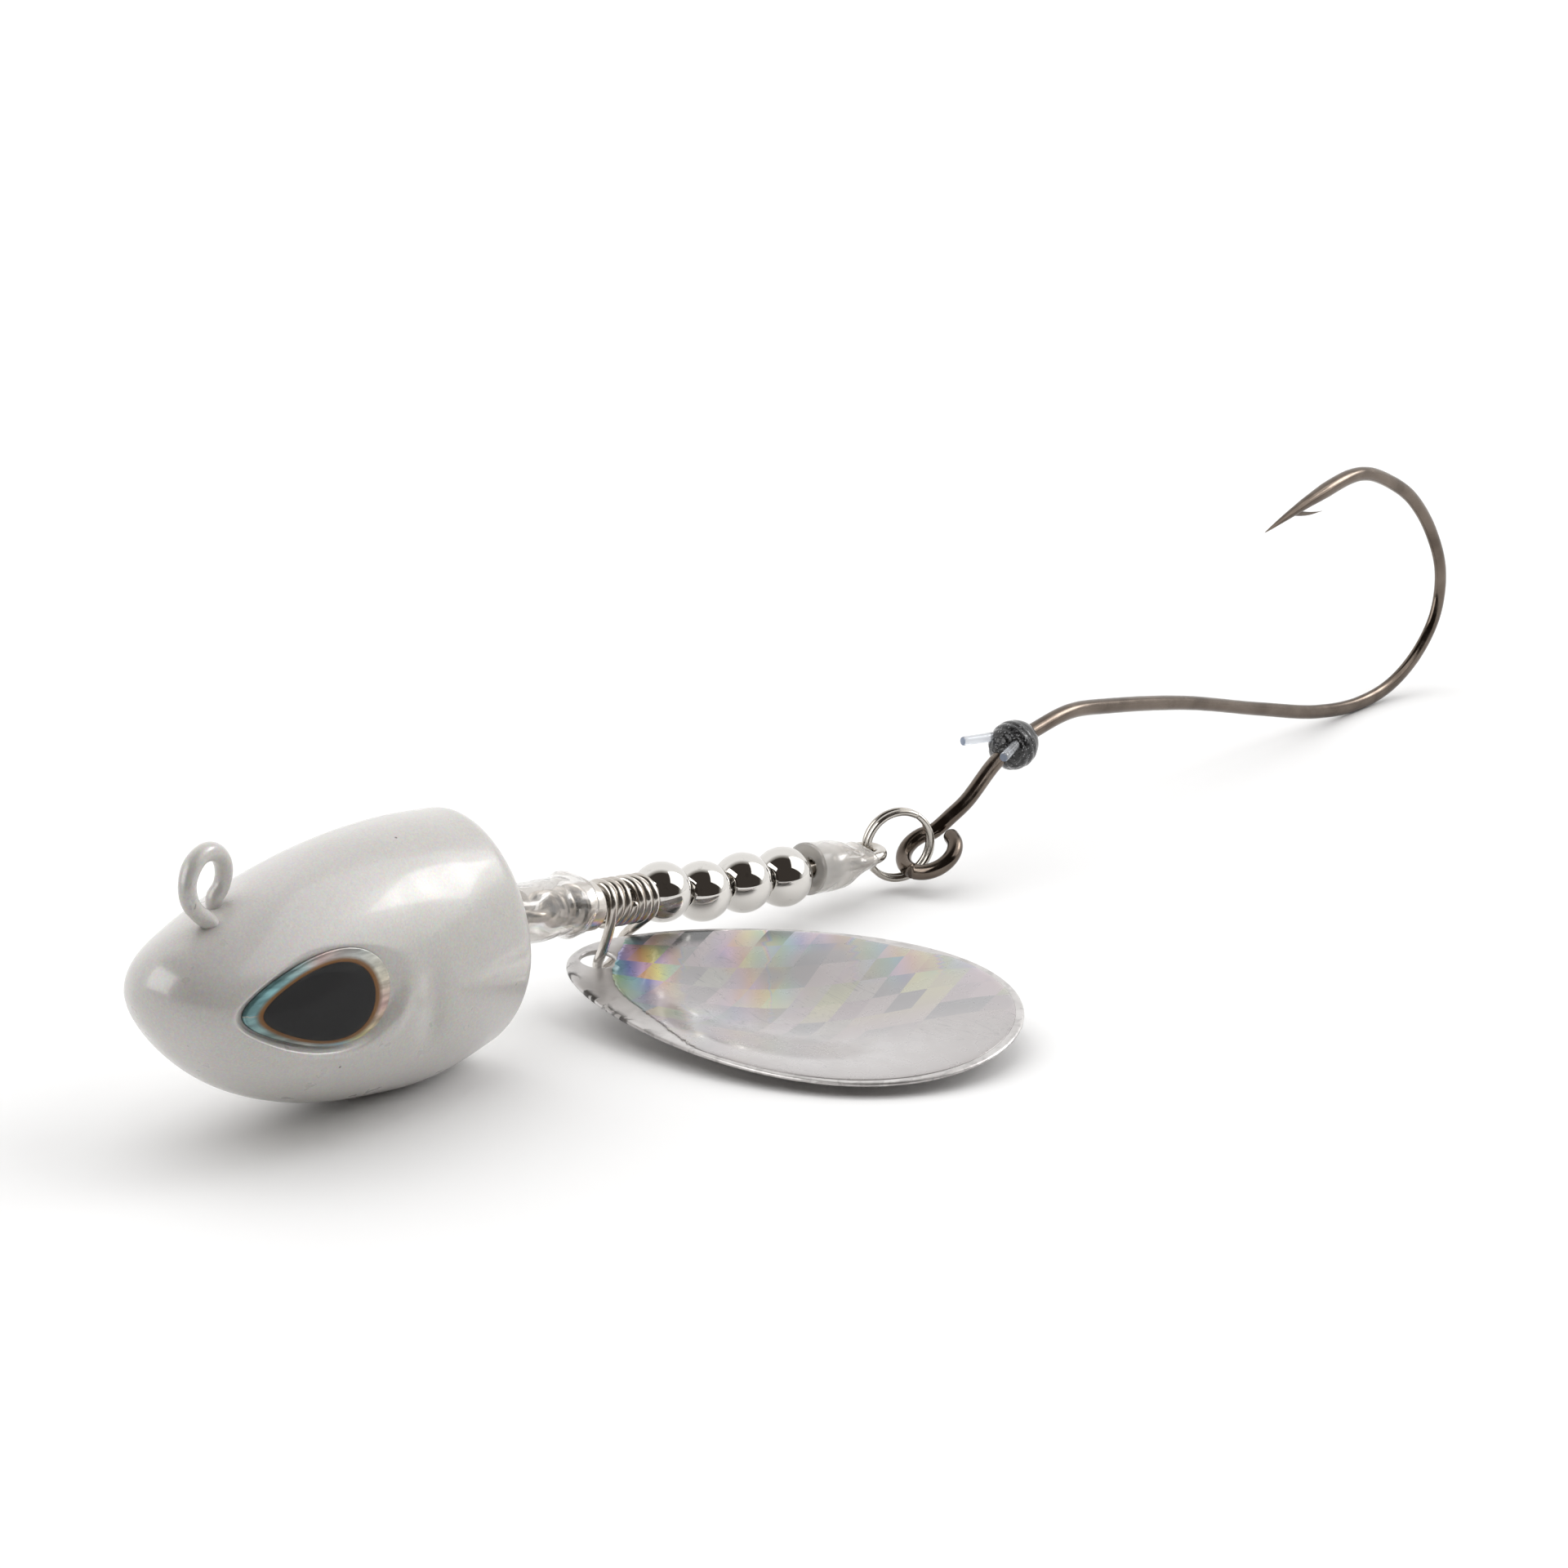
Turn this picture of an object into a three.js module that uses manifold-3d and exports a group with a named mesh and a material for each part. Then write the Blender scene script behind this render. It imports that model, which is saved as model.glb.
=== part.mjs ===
// Tail-spinner jig: a cast fish head, linked by wire eyes to a shaft that carries a coil clevis with its
// blade and four loose beads, then a split ring and a trailing single hook with a soft-bait keeper.
// Millimetres. +X runs from the nose to the hook, +Z is up, and the origin is the middle of the small
// flat under the head that it rests on.
import * as THREE from "three";
import { mergeVertices } from "three/addons/utils/BufferGeometryUtils.js";
import Module from "manifold-3d";

const wasm = await Module();
wasm.setup();

// ---- driving dimensions ----
const headLength = 28.2;
const headRear = 6.0;
const headHeight = 17.0;
const headHalfWidth = 7.1;
const noseHeight = 11.2;
const headSectionPower = 1.9;
const headRearRound = 1.8;
const bellyCut = 0.15;

const eyeCentre = new THREE.Vector3(-13.2, 5.35, 9.7);
const eyeYaw = 11;
const eyePitch = 5;
const eyeRoll = 2;
const eyeLength = 10.9;
const eyeHeight = 6.4;
const socketMargin = 1.1;
const socketDepth = 5;
const foilThickness = 0.25;
const domeRise = 1.25;

const headWireRadius = 0.48;
const lineTieCentre = new THREE.Vector3(-16.95, 0, 17.0);
const lineTieRadius = 1.93;
const lineTieSplay = 0.55;

const linkX = 10.7;
const linkZ = 7.6;
const shaftTilt = 9.1;
const shaftRadius = 0.4;
const linkEyeRadius = 1.2;
const linkEyeOverlap = 0.49;
const wrapRadius = 0.87;
const rearLoopCentre = 33.4;
const rearLoopRadius = 1.1;
const rearLoopPitch = 10;
const rearLoopBend = 31;

const sleeveStart = 4.95;
const sleeveLength = 1.7;
const sleeveRadius = 1.6;
const sleeveBore = 1.6;
const sleeveDroop = 0.2;

const coilStart = 7.45;
const coilEnd = 11.6;
const coilPitch = 0.69;
const coilRadius = 1.27;
const coilDroop = 0.2;
const clevisWireRadius = 0.29;

const beadDiameter = 3.9;
const beadBore = 1.7;
const beadPitch = 3.95;
const firstBead = 13.56;
const beadDroop = [0.05, 0.41, 0.26, 0.28];

const bladeHole = new THREE.Vector3(17.7, -0.3, 2.77);
const bladeYaw = -74;
const bladePitch = 2.2;
const bladeRoll = 6.4;
const bladeLength = 30.2;
const bladeHalfWidth = 9.55;
const bladeSkew = 0.263;
const bladeMiddle = 13.3;
const bladeCup = 1.9;
const bladeRimPower = 2.2;
const bladeThickness = 0.3;
const bladeHoleRadius = 1.15;
const tapeThickness = 0.08;
const tapeGap = 0.03;
const tapeMargin = 0.955;

const ringCentre = new THREE.Vector3(46.0, -1.0, 3.0);
const ringYaw = -26.5;
const ringRadius = 2.25;
const ringWireWide = 0.46;
const ringWireThick = 0.45;

const hookEyeCentre = new THREE.Vector3(47.58, -2.3, 2.38);
const hookYaw = 1.4;
const hookWireRadius = 0.45;
const hookEyeRadius = 1.77;
const hookEyeTilt = 32;
const keeperCentre = new THREE.Vector3(8.74, 0, 5.05);
const keeperRadius = 1.62;
const spikeRadius = 0.31;

const fitGap = 0.08;
const wireSides = 8;

// ---- helpers ----
const rad = THREE.MathUtils.degToRad;
const vec = (x, y, z) => new THREE.Vector3(x, y, z);

// Merges shared vertices and drops the empty triangles that a lathe leaves on its axis.
function cleaned(geometry) {
  const bare = geometry.clone();
  for (const name of ["normal", "uv"]) bare.deleteAttribute(name);
  const merged = mergeVertices(bare, 1e-4);
  const index = merged.index.array;
  const kept = [];
  for (let i = 0; i < index.length; i += 3) {
    const [a, b, c] = [index[i], index[i + 1], index[i + 2]];
    if (a !== b && b !== c && c !== a) kept.push(a, b, c);
  }
  merged.setIndex(kept);
  return merged;
}

function solid(geometry) {
  const merged = cleaned(geometry);
  const vertProperties = merged.attributes.position.array;
  const triVerts = new Uint32Array(merged.index.array);
  const made = new wasm.Manifold(new wasm.Mesh({ numProp: 3, vertProperties, triVerts }));
  if (made.volume() > 0) return made;
  triVerts.reverse();
  return new wasm.Manifold(new wasm.Mesh({ numProp: 3, vertProperties, triVerts }));
}

function geometryOf(made) {
  const mesh = made.getMesh();
  const points = new Float32Array(mesh.numVert * 3);
  for (let i = 0; i < mesh.numVert; i++) {
    for (let k = 0; k < 3; k++) points[3 * i + k] = mesh.vertProperties[i * mesh.numProp + k];
  }
  const geometry = new THREE.BufferGeometry();
  geometry.setAttribute("position", new THREE.BufferAttribute(points, 3));
  geometry.setIndex(Array.from(mesh.triVerts));
  geometry.computeVertexNormals();
  return geometry;
}

// A round or flattened wire along a smooth curve through the points.
function wire(points, radius, steps, sides = wireSides, wide = radius) {
  const section = new THREE.Shape();
  for (let i = 0; i < sides; i++) {
    const angle = (2 * Math.PI * (i + 0.5)) / sides;
    const reach = 1 / Math.cos(Math.PI / sides) ** 0.5;
    const corner = [reach * radius * Math.cos(angle), reach * wide * Math.sin(angle)];
    if (i === 0) section.moveTo(...corner);
    else section.lineTo(...corner);
  }
  section.closePath();
  const path = new THREE.CatmullRomCurve3(points, false, "centripetal");
  path.arcLengthDivisions = 2000;
  return new THREE.ExtrudeGeometry(section, { steps, extrudePath: path, bevelEnabled: false });
}

// Points on an arc in the plane of two unit directions, from one angle to another in degrees.
function arc(centre, radius, from, to, count, across, up) {
  return Array.from({ length: count }, (_, i) => {
    const angle = rad(from + ((to - from) * i) / (count - 1));
    return centre.clone()
      .addScaledVector(across, radius * Math.cos(angle))
      .addScaledVector(up, radius * Math.sin(angle));
  });
}

// A lathe round its own axis, whose points are then placed by a rule of ring radius, angle and height.
function shapedLathe(profile, segments, place) {
  const outline = profile.map(([radius, height]) => new THREE.Vector2(radius, height));
  const geometry = new THREE.LatheGeometry(outline, segments);
  const position = geometry.getAttribute("position");
  for (let i = 0; i < position.count; i++) {
    const [x, y, z] = [position.getX(i), position.getY(i), position.getZ(i)];
    const placed = place(Math.hypot(x, z), Math.atan2(z, x), y);
    position.setXYZ(i, placed.x, placed.y, placed.z);
  }
  return geometryOf(solid(geometry));
}

// A turned piece on the X axis from a closed profile of [radius, x].
function turned(profile, segments) {
  return shapedLathe(profile, segments, (radius, angle, height) => (
    vec(height, radius * Math.cos(angle), radius * Math.sin(angle))
  ));
}

function material(color, roughness, metalness, opacity = 1) {
  return new THREE.MeshStandardMaterial({
    color, roughness, metalness, opacity, transparent: opacity < 1,
  });
}

const pearl = material(0xdcdad2, 0.25, 0.05);
const blackWire = material(0x4a4038, 0.2, 0.9);
const bareWire = material(0xb8b4ac, 0.25, 1);
const chrome = material(0xe6e6e4, 0.05, 1);
const clearTube = material(0xd8d6d0, 0.2, 0, 0.4);
const irisFoil = material(0x6a7a78, 0.2, 0.6);
const clearResin = material(0xffffff, 0.03, 0, 0.3);
const bladeMetal = material(0xc4c0c0, 0.2, 1);
const prismTape = material(0xcfc3c8, 0.2, 0.7);
const threadBlack = material(0x101012, 0.3, 0);
const clearNylon = material(0xc8ccd4, 0.3, 0, 0.6);

const spinnerbait = new THREE.Group();
const head = new THREE.Group();
const shaft = new THREE.Group();
const blade = new THREE.Group();
const ring = new THREE.Group();
const hook = new THREE.Group();
spinnerbait.add(head, shaft, blade, ring, hook);

function add(group, name, geometry, look) {
  const mesh = new THREE.Mesh(geometry, look);
  mesh.name = name;
  group.add(mesh);
  return mesh;
}

// ---- head casting ----
// The side and plan outlines of the head, each a fraction of the way from nose to rear and a value there.
const crownLine = [
  [0, noseHeight], [0.05, 13.4], [0.2, 14.9], [0.4, 16.3], [0.6, 16.85], [0.8, 16.7], [1, 15.9],
];
const bellyLine = [[0, noseHeight], [0.05, 7.9], [0.2, 4.0], [0.4, 1.5], [0.6, 0.35], [0.78, 0], [1, 0.95]];
const planLine = [[0, 0], [0.05, 3.3], [0.2, 5.8], [0.4, 6.75], [0.6, 7.1], [0.8, 7.05], [1, 6.25]];

// Reads an outline on a smooth curve over the square root of the fraction, which rounds the nose.
function reader(line) {
  const knots = line.map(([fraction, value]) => vec(Math.sqrt(fraction), value, 0));
  const curve = new THREE.SplineCurve(knots.map((knot) => new THREE.Vector2(knot.x, knot.y)));
  const samples = curve.getPoints(400);
  return (fraction) => {
    const at = Math.sqrt(Math.min(Math.max(fraction, 0), 1));
    const after = samples.findIndex((sample) => sample.x >= at);
    if (after <= 0) return samples[0].y;
    const [low, high] = [samples[after - 1], samples[after]];
    return low.y + ((high.y - low.y) * (at - low.x)) / (high.x - low.x);
  };
}
const crownAt = reader(crownLine);
const bellyAt = reader(bellyLine);
const halfWidthAt = reader(planLine);

function headPoint(scale, angle, fraction) {
  const [top, bottom] = [crownAt(fraction), bellyAt(fraction) - bellyCut];
  const middle = bottom + 0.46 * (top - bottom);
  const power = 2 / headSectionPower;
  const round = (value) => Math.sign(value) * Math.abs(value) ** power;
  const reach = Math.sin(angle) > 0 ? top - middle : middle - bottom;
  return vec(
    headRear - headLength * (1 - fraction),
    scale * halfWidthAt(fraction) * round(Math.cos(angle)),
    middle + scale * reach * round(Math.sin(angle)),
  );
}

function headProfile() {
  const stations = [0.008, 0.03, 0.07, 0.12, 0.18, 0.25, 0.33, 0.42, 0.51, 0.6, 0.69, 0.77, 0.84, 0.9];
  const profile = [[0, 0], ...stations.map((fraction) => [1, fraction])];
  const roundFraction = headRearRound / headLength;
  for (const angle of [0, 30, 55, 75, 90]) {
    const inset = (headRearRound / headHalfWidth) * (1 - Math.cos(rad(angle)));
    profile.push([1 - inset, 1 - roundFraction * (1 - Math.sin(rad(angle)))]);
  }
  return [...profile, [0, 1]];
}

// The eye's outline: round behind, drawn out to a point in front.
function eyeOutline(length, height) {
  const shape = new THREE.Shape();
  const count = 28;
  for (let i = 0; i < count; i++) {
    const angle = (2 * Math.PI * i) / count;
    const along = -0.5 * length * Math.cos(angle);
    const pinch = 0.72 - 0.28 * Math.cos(angle);
    const corner = [along, 0.5 * height * Math.sin(angle) * pinch * 1.22];
    if (i === 0) shape.moveTo(...corner);
    else shape.lineTo(...corner);
  }
  shape.closePath();
  return shape;
}

// Turns a piece made flat in XY, outward along +Z and its point towards -X, into the eye's place.
function eyePlace(side) {
  const yaw = rad(eyeYaw);
  const outward = vec(-Math.sin(yaw), side * Math.cos(yaw), Math.sin(rad(eyePitch))).normalize();
  const along = vec(Math.cos(yaw), side * Math.sin(yaw), -Math.sin(rad(eyeRoll)));
  along.addScaledVector(outward, -along.dot(outward)).normalize();
  const up = outward.clone().cross(along);
  const placed = new THREE.Matrix4().makeBasis(along, up, outward);
  return placed.setPosition(eyeCentre.x, side * eyeCentre.y, eyeCentre.z);
}

function eyePlate(length, height, low, high) {
  const options = { depth: high - low, bevelEnabled: false };
  const plate = new THREE.ExtrudeGeometry(eyeOutline(length, height), options);
  return plate.translate(0, 0, low);
}

function eyeDome() {
  const half = eyeHeight * 0.62;
  const ballRadius = (half * half + domeRise * domeRise) / (2 * domeRise);
  const ball = new THREE.SphereGeometry(ballRadius, 48, 32);
  ball.scale(1.55, 1, 1).translate(0, 0, domeRise - ballRadius);
  const plate = solid(eyePlate(eyeLength - 0.1, eyeHeight - 0.1, foilThickness + 0.02, domeRise + 0.1));
  return geometryOf(plate.intersect(solid(ball)));
}

// ---- head wire: line tie, a run through the casting, and the rear eye ----
const [unitX, unitY, unitZ] = [vec(1, 0, 0), vec(0, 1, 0), vec(0, 0, 1)];

function headWirePoints() {
  const tie = arc(lineTieCentre, lineTieRadius, -48, 228, 13, unitX, unitZ);
  tie.forEach((point, i) => {
    point.y = lineTieSplay * (1 - (2 * i) / (tie.length - 1));
  });
  const rearEye = vec(linkX - linkEyeRadius + linkEyeOverlap, 0, linkZ);
  return [
    vec(-15.35, lineTieSplay, 13.2),
    vec(-15.55, lineTieSplay, 14.6),
    ...tie,
    vec(-17.2, -lineTieSplay, 14.6),
    vec(-16.2, -lineTieSplay, 12.6),
    vec(-12.5, -lineTieSplay / 2, 9.8),
    vec(-6, 0, 8.5),
    vec(0, 0, 8.2),
    vec(5, 0, 8.15),
    vec(7.2, 0, 8.05),
    ...arc(rearEye, linkEyeRadius, 218, 500, 12, unitX, unitZ),
  ];
}

const headWirePath = headWirePoints();
let casting = solid(shapedLathe(headProfile(), 36, headPoint));
const floorBlock = new THREE.BoxGeometry(2 * headLength, 4 * headHalfWidth, headHeight);
casting = casting.subtract(solid(floorBlock.translate(0, 0, -headHeight / 2)));
casting = casting.subtract(solid(wire(headWirePath, headWireRadius + 2 * fitGap, 60, 6)));
for (const side of [-1, 1]) {
  const socket = eyePlate(eyeLength + socketMargin, eyeHeight + socketMargin, 0, socketDepth);
  casting = casting.subtract(solid(socket.applyMatrix4(eyePlace(side))));
}
add(head, "head_casting", geometryOf(casting), pearl);
add(head, "head_wire", geometryOf(solid(wire(headWirePath, headWireRadius, 100, 7))), bareWire);
for (const [side, name] of [[-1, "left"], [1, "right"]]) {
  const foil = eyePlate(eyeLength - 0.1, eyeHeight - 0.1, 0.02, foilThickness);
  add(head, `eye_foil_${name}`, geometryOf(solid(foil.applyMatrix4(eyePlace(side)))), irisFoil);
  add(head, `eye_dome_${name}`, geometryOf(solid(eyeDome().applyMatrix4(eyePlace(side)))), clearResin);
}

// ---- shaft: its X axis is the shaft's centreline and its origin the middle of the two linked eyes ----
shaft.position.set(linkX, 0, linkZ);
shaft.rotation.y = rad(shaftTilt);

// Close turns of the wire's tail round the shaft, from one x to another.
function wraps(fromX, toX, fromAngle, turns) {
  const count = Math.round(Math.abs(turns) * 10) + 1;
  return Array.from({ length: count }, (_, i) => {
    const part = i / (count - 1);
    const angle = rad(fromAngle + 360 * turns * part);
    return vec(fromX + (toX - fromX) * part, wrapRadius * Math.cos(angle), wrapRadius * Math.sin(angle));
  });
}

// Lifts a point behind the rear wraps onto the line of the pitched rear loop.
function raised(point) {
  const behind = Math.max(point.x - rearLoopBend, 0);
  return vec(point.x, point.y, point.z + behind * Math.tan(rad(rearLoopPitch)));
}

function shaftWirePoints() {
  const frontEye = vec(linkEyeRadius - linkEyeOverlap, 0, 0);
  const rearEye = vec(rearLoopCentre, 0, 0);
  return [
    ...wraps(4.35, 2.8, 0, -1.75),
    vec(2.3, 0.75, 0.55),
    ...arc(frontEye, linkEyeRadius, 40, 318, 11, unitX, unitY),
    vec(2.35, -0.3, 0),
    vec(3.1, 0, 0),
    vec(10, 0, 0),
    vec(20, 0, 0),
    vec(29.9, 0, 0),
    raised(vec(30.8, -0.25, 0)),
    raised(vec(32.0, -0.95, 0)),
    ...arc(rearEye, rearLoopRadius, -90, 90, 9, unitX, unitY).map(raised),
    raised(vec(32.2, 1.1, 0)),
    raised(vec(31.3, 0.95, 0)),
    ...wraps(30.5, 28.5, 0, 2.25),
  ];
}
add(shaft, "shaft_wire", geometryOf(solid(wire(shaftWirePoints(), shaftRadius, 140, 6))), bareWire);

// A tube from its outline of [x, outer radius] and its wall, flattened by the two factors.
function tube(outline, wall, wide = () => 1, tall = () => 1) {
  const inner = outline.map(([x, radius]) => [radius - wall, x]).reverse();
  const profile = [...outline.map(([x, radius]) => [radius, x]), ...inner];
  profile.push(profile[0]);
  return shapedLathe(profile, 18, (radius, angle, height) => (
    raised(vec(height, radius * wide(height) * Math.cos(angle), radius * tall(height) * Math.sin(angle)))
  ));
}
const frontTubeOutline = [
  [-4.1, 2.3], [-3.2, 2.08], [-1.5, 2.02], [1.4, 2.0], [2.8, 1.88], [3.8, 2.02], [4.5, 2.2], [5.2, 2.05],
];
add(shaft, "front_tube", tube(frontTubeOutline, 0.22), clearTube);

const sleeveProfile = [
  [sleeveBore / 2, sleeveStart],
  [sleeveRadius - 0.15, sleeveStart],
  [sleeveRadius, sleeveStart + 0.15],
  [sleeveRadius, sleeveStart + sleeveLength - 0.15],
  [sleeveRadius - 0.15, sleeveStart + sleeveLength],
  [sleeveBore / 2, sleeveStart + sleeveLength],
  [sleeveBore / 2, sleeveStart],
];
const sleeve = add(shaft, "sleeve", turned(sleeveProfile, 24), bareWire);
sleeve.position.z = -sleeveDroop;

// ---- clevis: one wire, its ends wound towards each other on the shaft, its bail through the blade ----
// Turns of the coil, from an x and an angle, stepping along x by the signed pitch.
function coilTurnsFrom(x, fromAngle, pitch, turns) {
  const count = Math.round(turns * 12) + 1;
  return Array.from({ length: count }, (_, i) => {
    const done = (turns * i) / (count - 1);
    const angle = rad(fromAngle - 360 * done);
    return vec(x + pitch * done, coilRadius * Math.cos(angle), coilRadius * Math.sin(angle) - coilDroop);
  });
}

function clevisPoints() {
  const bail = [
    vec(7.5, -1.22, -1.1), vec(7.6, -1.0, -2.0), vec(7.68, -0.6, -3.2), vec(7.72, -0.3, -4.05),
    vec(8.0, -0.25, -4.5), vec(9.0, 0.1, -4.5), vec(10.2, 0.6, -4.3), vec(11.1, 1.1, -3.95),
    vec(11.55, 1.25, -3.4), vec(11.6, 0.9, -2.75), vec(11.6, 0.0, -1.9),
  ];
  const frontCoil = coilTurnsFrom(coilStart, 180, coilPitch, 3).reverse();
  return [...frontCoil, ...bail, ...coilTurnsFrom(coilEnd, 225, -coilPitch, 2.6)];
}
add(shaft, "clevis", geometryOf(solid(wire(clevisPoints(), clevisWireRadius, 140, 6))), bareWire);

// ---- beads: balls with a bore, each hanging a little below the shaft's centreline ----
function beadProfile() {
  const [ballRadius, bore] = [beadDiameter / 2, beadBore / 2];
  const end = Math.asin(bore / ballRadius);
  const count = 8;
  const profile = Array.from({ length: count + 1 }, (_, i) => {
    const angle = end + ((Math.PI - 2 * end) * i) / count;
    return [ballRadius * Math.sin(angle), -ballRadius * Math.cos(angle)];
  });
  profile.push(profile[0]);
  return profile;
}
beadDroop.forEach((droop, i) => {
  const bead = add(shaft, `bead_${i + 1}`, turned(beadProfile(), 16), chrome);
  bead.position.set(firstBead + i * beadPitch, 0, -droop);
});

const rearTubeOutline = [[27.75, 1.75], [28.6, 1.72], [30.4, 1.62], [31.4, 1.6], [32.4, 1.74], [32.8, 1.74]];
const flatten = (x) => THREE.MathUtils.lerp(1, 0.5, THREE.MathUtils.smoothstep(x, 30.6, 32.2));
const rearTubeWide = (x) => THREE.MathUtils.lerp(1, 1.02, THREE.MathUtils.smoothstep(x, 30.6, 32.4));
add(shaft, "rear_tube", tube(rearTubeOutline, 0.2, rearTubeWide, flatten), clearTube);

// ---- blade: a cupped plate whose own X axis runs from the hole to the far end and Z out of the cup ----
const bladeAlong = vec(
  Math.cos(rad(bladeYaw)) * Math.cos(rad(bladePitch)),
  Math.sin(rad(bladeYaw)) * Math.cos(rad(bladePitch)),
  -Math.sin(rad(bladePitch)),
);
const bladeLevel = vec(-Math.sin(rad(bladeYaw)), Math.cos(rad(bladeYaw)), 0);
const bladeAcross = bladeLevel.clone().multiplyScalar(Math.cos(rad(bladeRoll)))
  .addScaledVector(bladeAlong.clone().cross(bladeLevel), Math.sin(rad(bladeRoll)));
const bladeNormal = bladeAlong.clone().cross(bladeAcross);
blade.setRotationFromMatrix(new THREE.Matrix4().makeBasis(bladeAlong, bladeAcross, bladeNormal));
blade.position.copy(bladeHole);

function bladePoint(ringPart, angle, height) {
  const along = ringPart * Math.cos(angle);
  const across = ringPart * Math.sin(angle);
  return vec(
    bladeMiddle - (bladeLength / 2) * along,
    bladeHalfWidth * across * (1 - bladeSkew * along),
    height - bladeCup * Math.max(1 - ringPart * ringPart, 0) ** bladeRimPower,
  );
}

const bladeRings = [0.25, 0.5, 0.7, 0.85, 0.95];
function platePart(outer, low, high) {
  const rings = [...bladeRings.filter((part) => part < outer), outer];
  const profile = [[0, low], ...rings.map((part) => [part, low])];
  profile.push(...[...rings].reverse().map((part) => [part, high]), [0, high]);
  return solid(shapedLathe(profile, 34, bladePoint));
}
const holeCutter = new THREE.CylinderGeometry(bladeHoleRadius, bladeHoleRadius, 8, 24).rotateX(Math.PI / 2);
const plate = platePart(1, -bladeThickness, 0).subtract(solid(holeCutter));
add(blade, "blade", geometryOf(plate), bladeMetal);
const tapeLow = tapeGap;
const tapeEdge = [
  [-1, 9], [0.5, 2.9], [1.5, -0.9], [2.2, -2.1], [3.5, -3.5], [6.7, -5.7], [10.3, -8.3], [16, -11],
];
const tapeArea = new THREE.Shape([...tapeEdge, [32, -11], [32, 9]].map(([x, y]) => new THREE.Vector2(x, y)));
const tapeSlab = { depth: 10, bevelEnabled: false };
const tapeCutter = new THREE.ExtrudeGeometry(tapeArea, tapeSlab).translate(0, 0, -5);
const tape = platePart(tapeMargin, tapeLow, tapeLow + tapeThickness).intersect(solid(tapeCutter))
  .subtract(solid(holeCutter));
add(blade, "blade_tape", geometryOf(tape), prismTape);

// ---- split ring: one flat wire in two close turns ----
ring.position.copy(ringCentre);
ring.rotation.z = rad(ringYaw);
function splitRingPoints() {
  const count = 49;
  return Array.from({ length: count }, (_, i) => {
    const part = i / (count - 1);
    const angle = rad(60 + 690 * part);
    const side = (ringWireWide + 0.04) * (THREE.MathUtils.smoothstep(part, 0.4, 0.6) - 0.5);
    return vec(ringRadius * Math.cos(angle), side, ringRadius * Math.sin(angle));
  });
}
const splitRing = solid(wire(splitRingPoints(), ringWireThick / 2, 60, 6, ringWireWide / 2));
add(ring, "split_ring", geometryOf(splitRing), bareWire);

// ---- hook: its plane is XZ and its origin the middle of its eye ----
hook.position.copy(hookEyeCentre);
hook.rotation.z = rad(hookYaw);
const shankUp = vec(Math.cos(rad(hookEyeTilt)), 0, Math.sin(rad(hookEyeTilt)));
const hookSpine = [
  [3.9, 2.5], [6.6, 4.2], [8.74, 5.05], [11.4, 5.55], [14.7, 5.8], [19.1, 5.05], [27.2, 3.15], [35.4, 0.6],
  [42.0, -1.3], [46.6, -1.9], [50.4, -1.45], [53.5, 0.15], [55.4, 2.4], [55.85, 5.3], [54.6, 8.5],
  [52.3, 11.4], [49.7, 13.2], [47.3, 14.3], [45.2, 14.6], [40.9, 14.05],
];
const pointTip = vec(35.5, 0, 12.95);
const barbTip = vec(41.9, 0, 12.95);

function hookPoints() {
  const eye = arc(vec(0, 0, 0), hookEyeRadius, 318, 28, 13, shankUp, unitY);
  return [...eye, vec(2.6, 0.25, 1.75), ...hookSpine.map(([x, z]) => vec(x, 0, z))];
}

// A cone from the middle of its round end to its tip.
function spike(from, to, radius) {
  const axis = to.clone().sub(from);
  const cone = new THREE.ConeGeometry(radius, axis.length(), 10);
  cone.translate(0, axis.length() / 2, 0);
  cone.applyQuaternion(new THREE.Quaternion().setFromUnitVectors(unitY, axis.normalize()));
  return solid(cone.translate(from.x, from.y, from.z));
}

// A round stub between two points.
function stub(from, to, radius) {
  const axis = to.clone().sub(from);
  const rod = new THREE.CylinderGeometry(radius, radius, axis.length(), 10);
  rod.translate(0, axis.length() / 2, 0);
  rod.applyQuaternion(new THREE.Quaternion().setFromUnitVectors(unitY, axis.normalize()));
  return solid(rod.translate(from.x, from.y, from.z));
}
const spear = spike(vec(42.3, 0, 14.26), pointTip, hookWireRadius);
const barb = spike(vec(38.7, 0, 13.65), barbTip, 0.25);
const hookWire = solid(wire(hookPoints(), hookWireRadius, 96)).add(spear).add(barb);
add(hook, "hook", geometryOf(hookWire), blackWire);

const spikes = [[-1, "left"], [1, "right"]].map(([side, name]) => ({
  name: `keeper_spike_${name}`,
  root: keeperCentre.clone().add(vec(-0.2, 0.72 * side, 0.55)),
  tip: keeperCentre.clone().add(vec(-3.2 - 0.3 * side, 1.45 * side, 0.5 + 0.33 * side)),
}));
const ball = new THREE.SphereGeometry(keeperRadius, 18, 12);
let wrap = solid(ball.scale(1.08, 1, 1).rotateY(-rad(18)).translate(...keeperCentre));
const shankNear = hookSpine.slice(0, 5).map(([x, z]) => vec(x, 0, z));
wrap = wrap.subtract(solid(wire(shankNear, hookWireRadius + fitGap, 30)));
for (const { name, root, tip } of spikes) {
  wrap = wrap.subtract(stub(root.clone().lerp(tip, -0.02), tip, spikeRadius + fitGap / 2));
  add(hook, name, geometryOf(stub(root, tip, spikeRadius)), clearNylon);
}
add(hook, "keeper_wrap", geometryOf(wrap), threadBlack);

export default spinnerbait;
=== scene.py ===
import bmesh
import bpy
import math
import numpy as np
from mathutils import Matrix, Vector


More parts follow.
